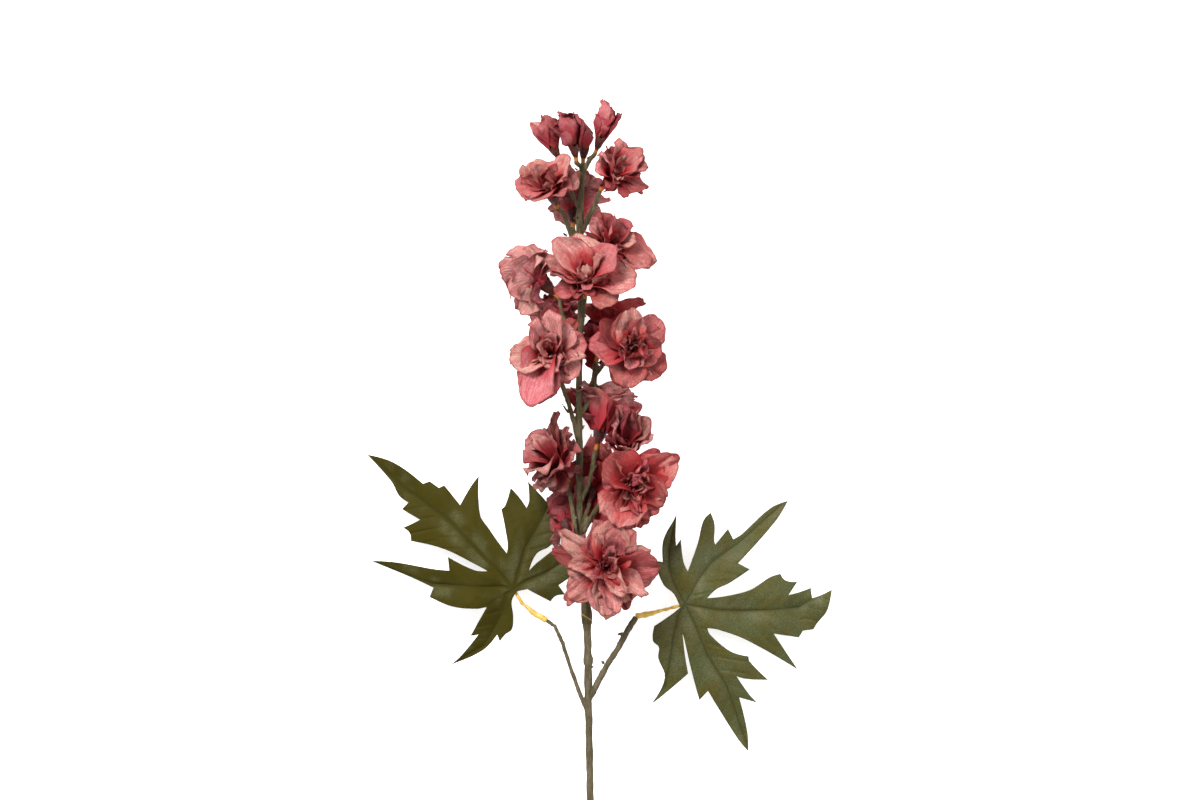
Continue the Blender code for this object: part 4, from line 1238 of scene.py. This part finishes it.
for side in ("left", "right"):
    pin = merged_copy(f"leaf_pin_{side}", f"leaf_pin_{side}_bare")
    one_skin(pin, PIN_SKIN, rounds=3)
    points, normals = points_of(pin), vectors_of(pin, "normal")
    inner_end = points[np.argmin(np.abs(points[:, 0] - STEM_LINE))]
    along = np.linalg.norm(points - inner_end, axis=1)
    lumps = smooth_noise(np.random.default_rng(PIN_SEED), points, 5.0)
    swell = 0.10 + 0.95 * smooth_step(20, 7, along) + 0.22 * lumps
    set_points(pin, points + normals * swell[:, None])
    hand_in(pin, f"leaf_pin_{side}", pin_plastic)
    print(pin.name, triangles([pin]), "triangles")

# %% [markdown]
# ## Leaves
#
# A leaf is die-cut from cloth and pressed in a mould that gives it its ribs. The CAD leaf has the outline
# as straight cuts. The script reads that outline back, rounds it between its sharp teeth, fills it, and
# cuts the sheet into small squares so that it can bend. Then it presses the ribs in: a narrow groove with
# a soft shoulder on each side, finer side veins, and a gentle wave of the whole blade.

# %% Shape and ribs of the two leaves
# Each rib runs from the hub to the tip of a lobe, as (right, up) in mm from the hub. A notch is (x, y) and
# how many outline points it draws in. The lift is (right, up) from the hub, size and height.
LEAVES = {
    "left": {
        "hub": (-65.0, -15.2),
        "ribs": [
            [(0, 0), (-7, 9), (-26, 28.5), (-46, 49.5), (-63, 62), (-84, 78), (-109, 101)],
            [(0, 0), (9, 31), (16.5, 43.5), (24, 57.5), (29, 68)],
            [(0, 0), (9, 6), (25, 12.5), (42.5, 24), (58, 32)],
            [(0, 0), (-7, 2), (-25, 1.6), (-46, 3), (-61, 4), (-84, 12), (-106, 21)],
            [(0, 0), (-6, -4), (-7, -15.5), (-11.5, -25), (-22, -42.5), (-46, -57)]],
        "notches": [(-86.0, -0.5, 14), (-52.2, 1.7, 12), (-87.5, -29.0, 8), (-62.0, -17.0, 5)],
        "lift": (-34.0, -12.0, 13.0, 5.5),
    },
    "right": {
        "hub": (64.0, -26.2),
        "ribs": [
            [(0, 0), (-8, 14.5), (-12, 27), (-12, 41), (-6, 71)],
            [(0, 0), (11, 19.5), (21, 32), (41, 46), (77, 78)],
            [(0, 0), (22.5, -4.5), (41, -5.6), (66, -4.6), (86, -3), (109, 12)],
            [(0, 0), (7.5, -15.5), (16.5, -38), (31.5, -62), (47.5, -108.5)],
            [(0, 0), (-5.6, -9.5), (-8.8, -24.5), (-11.3, -43), (-15, -62), (-24.5, -73)]],
        "notches": [(67.7, 2.5, 10), (82.0, -20.4, 12), (81.2, -45.5, 12), (62.5, -50.0, 12),
                    (58.7, -24.5, 6)],
        "lift": (104.0, 2.0, 13.0, 7.0),
    },
}
print("ribs", {side: len(leaf["ribs"]) for side, leaf in LEAVES.items()})

# %% Read the outline
SMALLEST_FACE = 0.001
SHORTEST_EDGE = 0.5
STRAIGHT = radians(2)
TURNED_BACK = radians(175)


def leaf_outline(name):
    """The CAD leaf's outline seen from above, as corner points in order."""
    sheet = merged_copy(name, "outline")
    points = points_of(sheet)[:, :2]
    count = {}
    for face in sheet.data.polygons:
        a, b, c = points[face.vertices[0]], points[face.vertices[1]], points[face.vertices[2]]
        if (b[0] - a[0]) * (c[1] - a[1]) - (b[1] - a[1]) * (c[0] - a[0]) > 2 * SMALLEST_FACE:
            for edge in face.edge_keys:
                count[edge] = count.get(edge, 0) + 1
    bpy.data.objects.remove(sheet)
    rim = {edge for edge, times in count.items() if times == 1}
    best = []
    while rim:
        loop = list(rim.pop())
        while True:
            ahead = next((edge for edge in rim if loop[-1] in edge), None)
            if ahead is None:
                break
            rim.remove(ahead)
            loop.append(ahead[0] if ahead[1] == loop[-1] else ahead[1])
        best = max(best, loop, key=len)
    points = points[best[:-1] if best[0] == best[-1] else best]
    before, after = np.roll(points, 1, axis=0), np.roll(points, -1, axis=0)
    bend = np.array([Vector(p - b).angle(Vector(a - p), pi) for b, p, a in zip(before, points, after)])
    points = points[(bend > STRAIGHT) & (bend < TURNED_BACK)]
    return points[np.linalg.norm(points - np.roll(points, 1, axis=0), axis=1) > SHORTEST_EDGE]


# %% Round the outline and draw it in at the notches
SHARP_TURN = radians(50)
ARC_STEPS = 5


def directed(way, length):
    """A direction made this long; a sharp corner has none and stays zero."""
    return way / np.linalg.norm(way) * length if way.any() else way


def rounded(points):
    """Curves the stretches between sharp corners."""
    count = len(points)
    before, after = np.roll(points, 1, axis=0), np.roll(points, -1, axis=0)
    way = after - before
    for i in range(count):
        into, out = Vector(points[i] - before[i]), Vector(after[i] - points[i])
        if into.angle(out) > SHARP_TURN:
            way[i] = 0
    made = []
    for i in range(count):
        a, b = points[i], points[(i + 1) % count]
        length = np.linalg.norm(b - a)
        start, end = directed(way[i], length), directed(way[(i + 1) % count], length)
        if not start.any():
            start = 1.5 * (b - a) - 0.5 * end
        if not end.any():
            end = 1.5 * (b - a) - 0.5 * start
        for step in range(ARC_STEPS):
            t = step / ARC_STEPS
            made.append((2 * t ** 3 - 3 * t ** 2 + 1) * a + (t ** 3 - 2 * t ** 2 + t) * start
                        + (3 * t ** 2 - 2 * t ** 3) * b + (t ** 3 - t ** 2) * end)
    return np.array(made)


def notched(outline, notches):
    """Draws the outline in to a point at each notch."""
    count = len(outline)
    for x, y, reach in notches:
        goal = np.array([x, y], float)
        deepest = np.argmin(np.linalg.norm(outline - goal, axis=1))
        pull = goal - outline[deepest]
        for step in range(-reach, reach + 1):
            outline[(deepest + step) % count] += pull * (1 - abs(step) / (reach + 1)) ** 1.5
    return outline


outlines = {side: notched(rounded(leaf_outline(f"leaf_{side}")), leaf["notches"])
            for side, leaf in LEAVES.items()}
print("outline points", {side: len(outline) for side, outline in outlines.items()})

# %% Fill it and cut it into small squares
LEAF_CELL = 2.0
FIRST_CUT = 0.63


def leaf_sheet(name, outline):
    """A flat sheet with this outline, cut along a fine grid."""
    curve = bpy.data.curves.new(name, "CURVE")
    curve.dimensions = "2D"
    curve.fill_mode = "BOTH"
    line = curve.splines.new("POLY")
    line.use_cyclic_u = True
    line.points.add(len(outline) - 1)
    for point, (x, y) in zip(line.points, outline):
        point.co = (x * MM, y * MM, 0, 1)
    sheet = bpy.data.objects.new(name, curve)
    bpy.context.scene.collection.objects.link(sheet)
    select_only(sheet)
    bpy.ops.object.convert(target="MESH")
    sheet = bpy.context.object
    low, high = points_of(sheet).min(axis=0), points_of(sheet).max(axis=0)
    bpy.ops.object.mode_set(mode="EDIT")
    for axis, normal in enumerate(((1, 0, 0), (0, 1, 0))):
        for step in range(int((high[axis] - low[axis]) / LEAF_CELL)):
            place = Vector(normal) * ((low[axis] + (step + FIRST_CUT) * LEAF_CELL) * MM)
            bpy.ops.mesh.select_all(action="SELECT")
            bpy.ops.mesh.bisect(plane_co=place, plane_no=normal)
    bpy.ops.mesh.select_all(action="SELECT")
    bpy.ops.mesh.remove_doubles(threshold=0.05 * MM)
    bpy.ops.mesh.normals_make_consistent(inside=False)
    bpy.ops.object.mode_set(mode="OBJECT")
    return sheet


# %% Measure along a rib


def along_rib(points, rib):
    """Distance from each point to a rib, with a sign for its side, and how far along the rib it is."""
    best, run = np.full(len(points), 1e9), np.zeros(len(points))
    done, side = 0.0, np.zeros(len(points))
    for a, b in zip(np.array(rib, float), np.array(rib[1:], float)):
        way = b - a
        length = np.linalg.norm(way)
        part = np.clip((points - a) @ way / length ** 2, 0, 1)
        away = points - a - part[:, None] * way
        distance = np.linalg.norm(away, axis=1)
        near = distance < best
        best[near], run[near] = distance[near], (done + part * length)[near]
        side[near] = np.sign(way[0] * away[:, 1] - way[1] * away[:, 0])[near]
        done += length
    return best * np.where(side == 0, 1, side), run


# %% Press the ribs
HUB_HEIGHT = 22.6
REACH_TO_FLOOR = 108.0
LOWEST = 0.45
VEIN_SPACING = 12.0
VEIN_SLANT = 0.9


def pressed(sheet, leaf, rng):
    """Bends the flat sheet into the pressed leaf and gives it its rib map."""
    points = points_of(sheet)
    flat = points[:, :2] - np.array(leaf["hub"])
    across, run = np.stack([along_rib(flat, rib) for rib in leaf["ribs"]], axis=1)
    nearest = np.argmin(np.abs(across), axis=0), np.arange(len(flat))
    off, on = np.abs(across[nearest]), run[nearest]
    distance = np.linalg.norm(flat, axis=1)
    fade = smooth_step(0, 14, distance)
    height = HUB_HEIGHT * (1 - np.minimum(distance / REACH_TO_FLOOR, 1) ** 1.5)
    height -= 0.9 * np.exp(-(off / 1.5) ** 2) * (0.4 + 0.6 * fade)
    height += 3.8 * fade * (1 - np.exp(-(off / 9.0) ** 1.5)) * np.exp(-(off / 30.0) ** 2)
    to_vein = np.abs(((on - VEIN_SLANT * off) / VEIN_SPACING) % 1 - 0.5) * VEIN_SPACING
    height -= 0.7 * np.exp(-(to_vein / 1.1) ** 2) * smooth_step(1, 4, off) * fade
    height += 1.8 * fade * smooth_noise(rng, points * np.array([1, 1, 0]), 40.0)
    x, y, size, lift = leaf["lift"]
    height += lift * np.exp(-((flat[:, 0] - x) ** 2 + (flat[:, 1] - y) ** 2) / size ** 2)
    points[:, 2] = np.maximum(height + 0.1, LOWEST + 0.02 * off)
    set_points(sheet, points)
    corner = corners_in(sheet)
    faces = sheet.data.polygons
    face = np.repeat(np.arange(len(faces)), [len(polygon.vertices) for polygon in faces])
    offness = np.zeros((len(faces), len(across)))
    np.add.at(offness, face, np.abs(across[:, corner]).T)
    chosen = np.argmin(offness, axis=1)[face], corner
    set_map(sheet, "rib", np.stack([run[chosen], across[chosen]], axis=1))


# %% [markdown]
# ### Leaf cloth
#
# The leaves are printed in olive and green, with dark ribs and side veins. A lighter band in patches beside
# each rib is painted sheen, for the glossy highlights of the pressed blade. A picture could hold that
# print, but the ribs are pressed by a formula, so the print follows the same formula: the rib map tells
# the shader how far each point is along and off its nearest rib.

# %% Leaf material
LEAF_OLIVE = (0.074, 0.063, 0.010)
LEAF_GREEN = (0.068, 0.074, 0.022)
LEAF_DARK = (0.030, 0.030, 0.008)
LEAF_BROWN = (0.037, 0.027, 0.001)
LEAF_PAINTED_SHEEN = (0.115, 0.118, 0.060)


def leaf_finish(name):
    """Olive printed cloth with darker ribs. The rib map holds mm along and across the nearest rib."""
    finish, tree, shader, place, marks = mottled_finish(name, 17.0)
    rib_map = outputs(node("SeparateXYZ", Vector=Value(node("UVMap", {"uv_map": "rib"}, tree))))
    off = abs(rib_map["Y"])
    rib = span(off, 0.35, 0.9, 1.0, 0.0)
    turns = maths("FRACT", (rib_map["X"] - off * VEIN_SLANT) / VEIN_SPACING)
    vein = span(abs(turns - 0.5), 0.012, 0.035, 1.0, 0.0) * span(off, 8.0, 20.0, 1.0, 0.0)
    grain = noise(place, 1.0 / (1.1 * MM), 3.0, 0.65)
    sheen_patches = noise(place, 1.0 / (24.0 * MM), 2.0, 0.5)
    # Painted sheen: a lighter band beside each rib, in patches, stands in for the leaf's glossy highlights.
    painted_sheen_band = span(off, 0.8, 3.0) * span(off, 5.0, 13.0, 1.0, 0.0) * span(sheen_patches, 0.42, 0.66, 0.0, 0.5)
    # The left leaf is browner and duller than the right one.
    rightward = Value(node("SeparateXYZ", Vector=place), "X")
    colour = blend(span(marks["Patches"], 0.38, 0.62), LEAF_OLIVE, LEAF_GREEN)
    colour = blend(span(rightward, -60 * MM, -10 * MM, 0.9, 0.0), colour, LEAF_BROWN)
    colour = blend(painted_sheen_band, colour, LEAF_PAINTED_SHEEN)
    colour = blend(span(grain, 0.40, 0.62, 0.55, 0.0), colour, LEAF_DARK)
    colour = blend(rib * 0.6, colour, LEAF_DARK)
    colour = blend(vein * 0.35, colour, LEAF_DARK)
    threads = Value(node("Group", {"node_tree": weave}, Vector=place, Threads_per_mm=2.2))
    fine = bump(threads, 0.35, 0.1 * MM)
    set_inputs(shader, Base_Color=colour, Roughness=span(marks["Patches"], 0.35, 0.65, 0.44, 0.58),
               Normal=bump(rib * -1.0 + grain * 0.5, 0.5, 0.5 * MM, Normal=fine),
               Specular_IOR_Level=span(rightward, -60 * MM, -10 * MM, 0.02, 0.18))
    return finish


leaf_cloth = leaf_finish("leaf_cloth")
print("material", leaf_cloth.name, len(leaf_cloth.node_tree.nodes), "nodes")

# %% Make the leaves
LEAF_SEED = 600
LEAF_THICKNESS = 0.4

for side, outline in outlines.items():
    leaf = leaf_sheet(f"leaf_{side}_cloth", outline)
    pressed(leaf, LEAVES[side], np.random.default_rng(LEAF_SEED))
    modified(leaf, "SOLIDIFY", thickness=LEAF_THICKNESS * MM, offset=0.0)
    leaf.data.shade_smooth()
    hand_in(leaf, f"leaf_{side}", leaf_cloth)
    print(leaf.name, triangles([leaf]), "triangles")
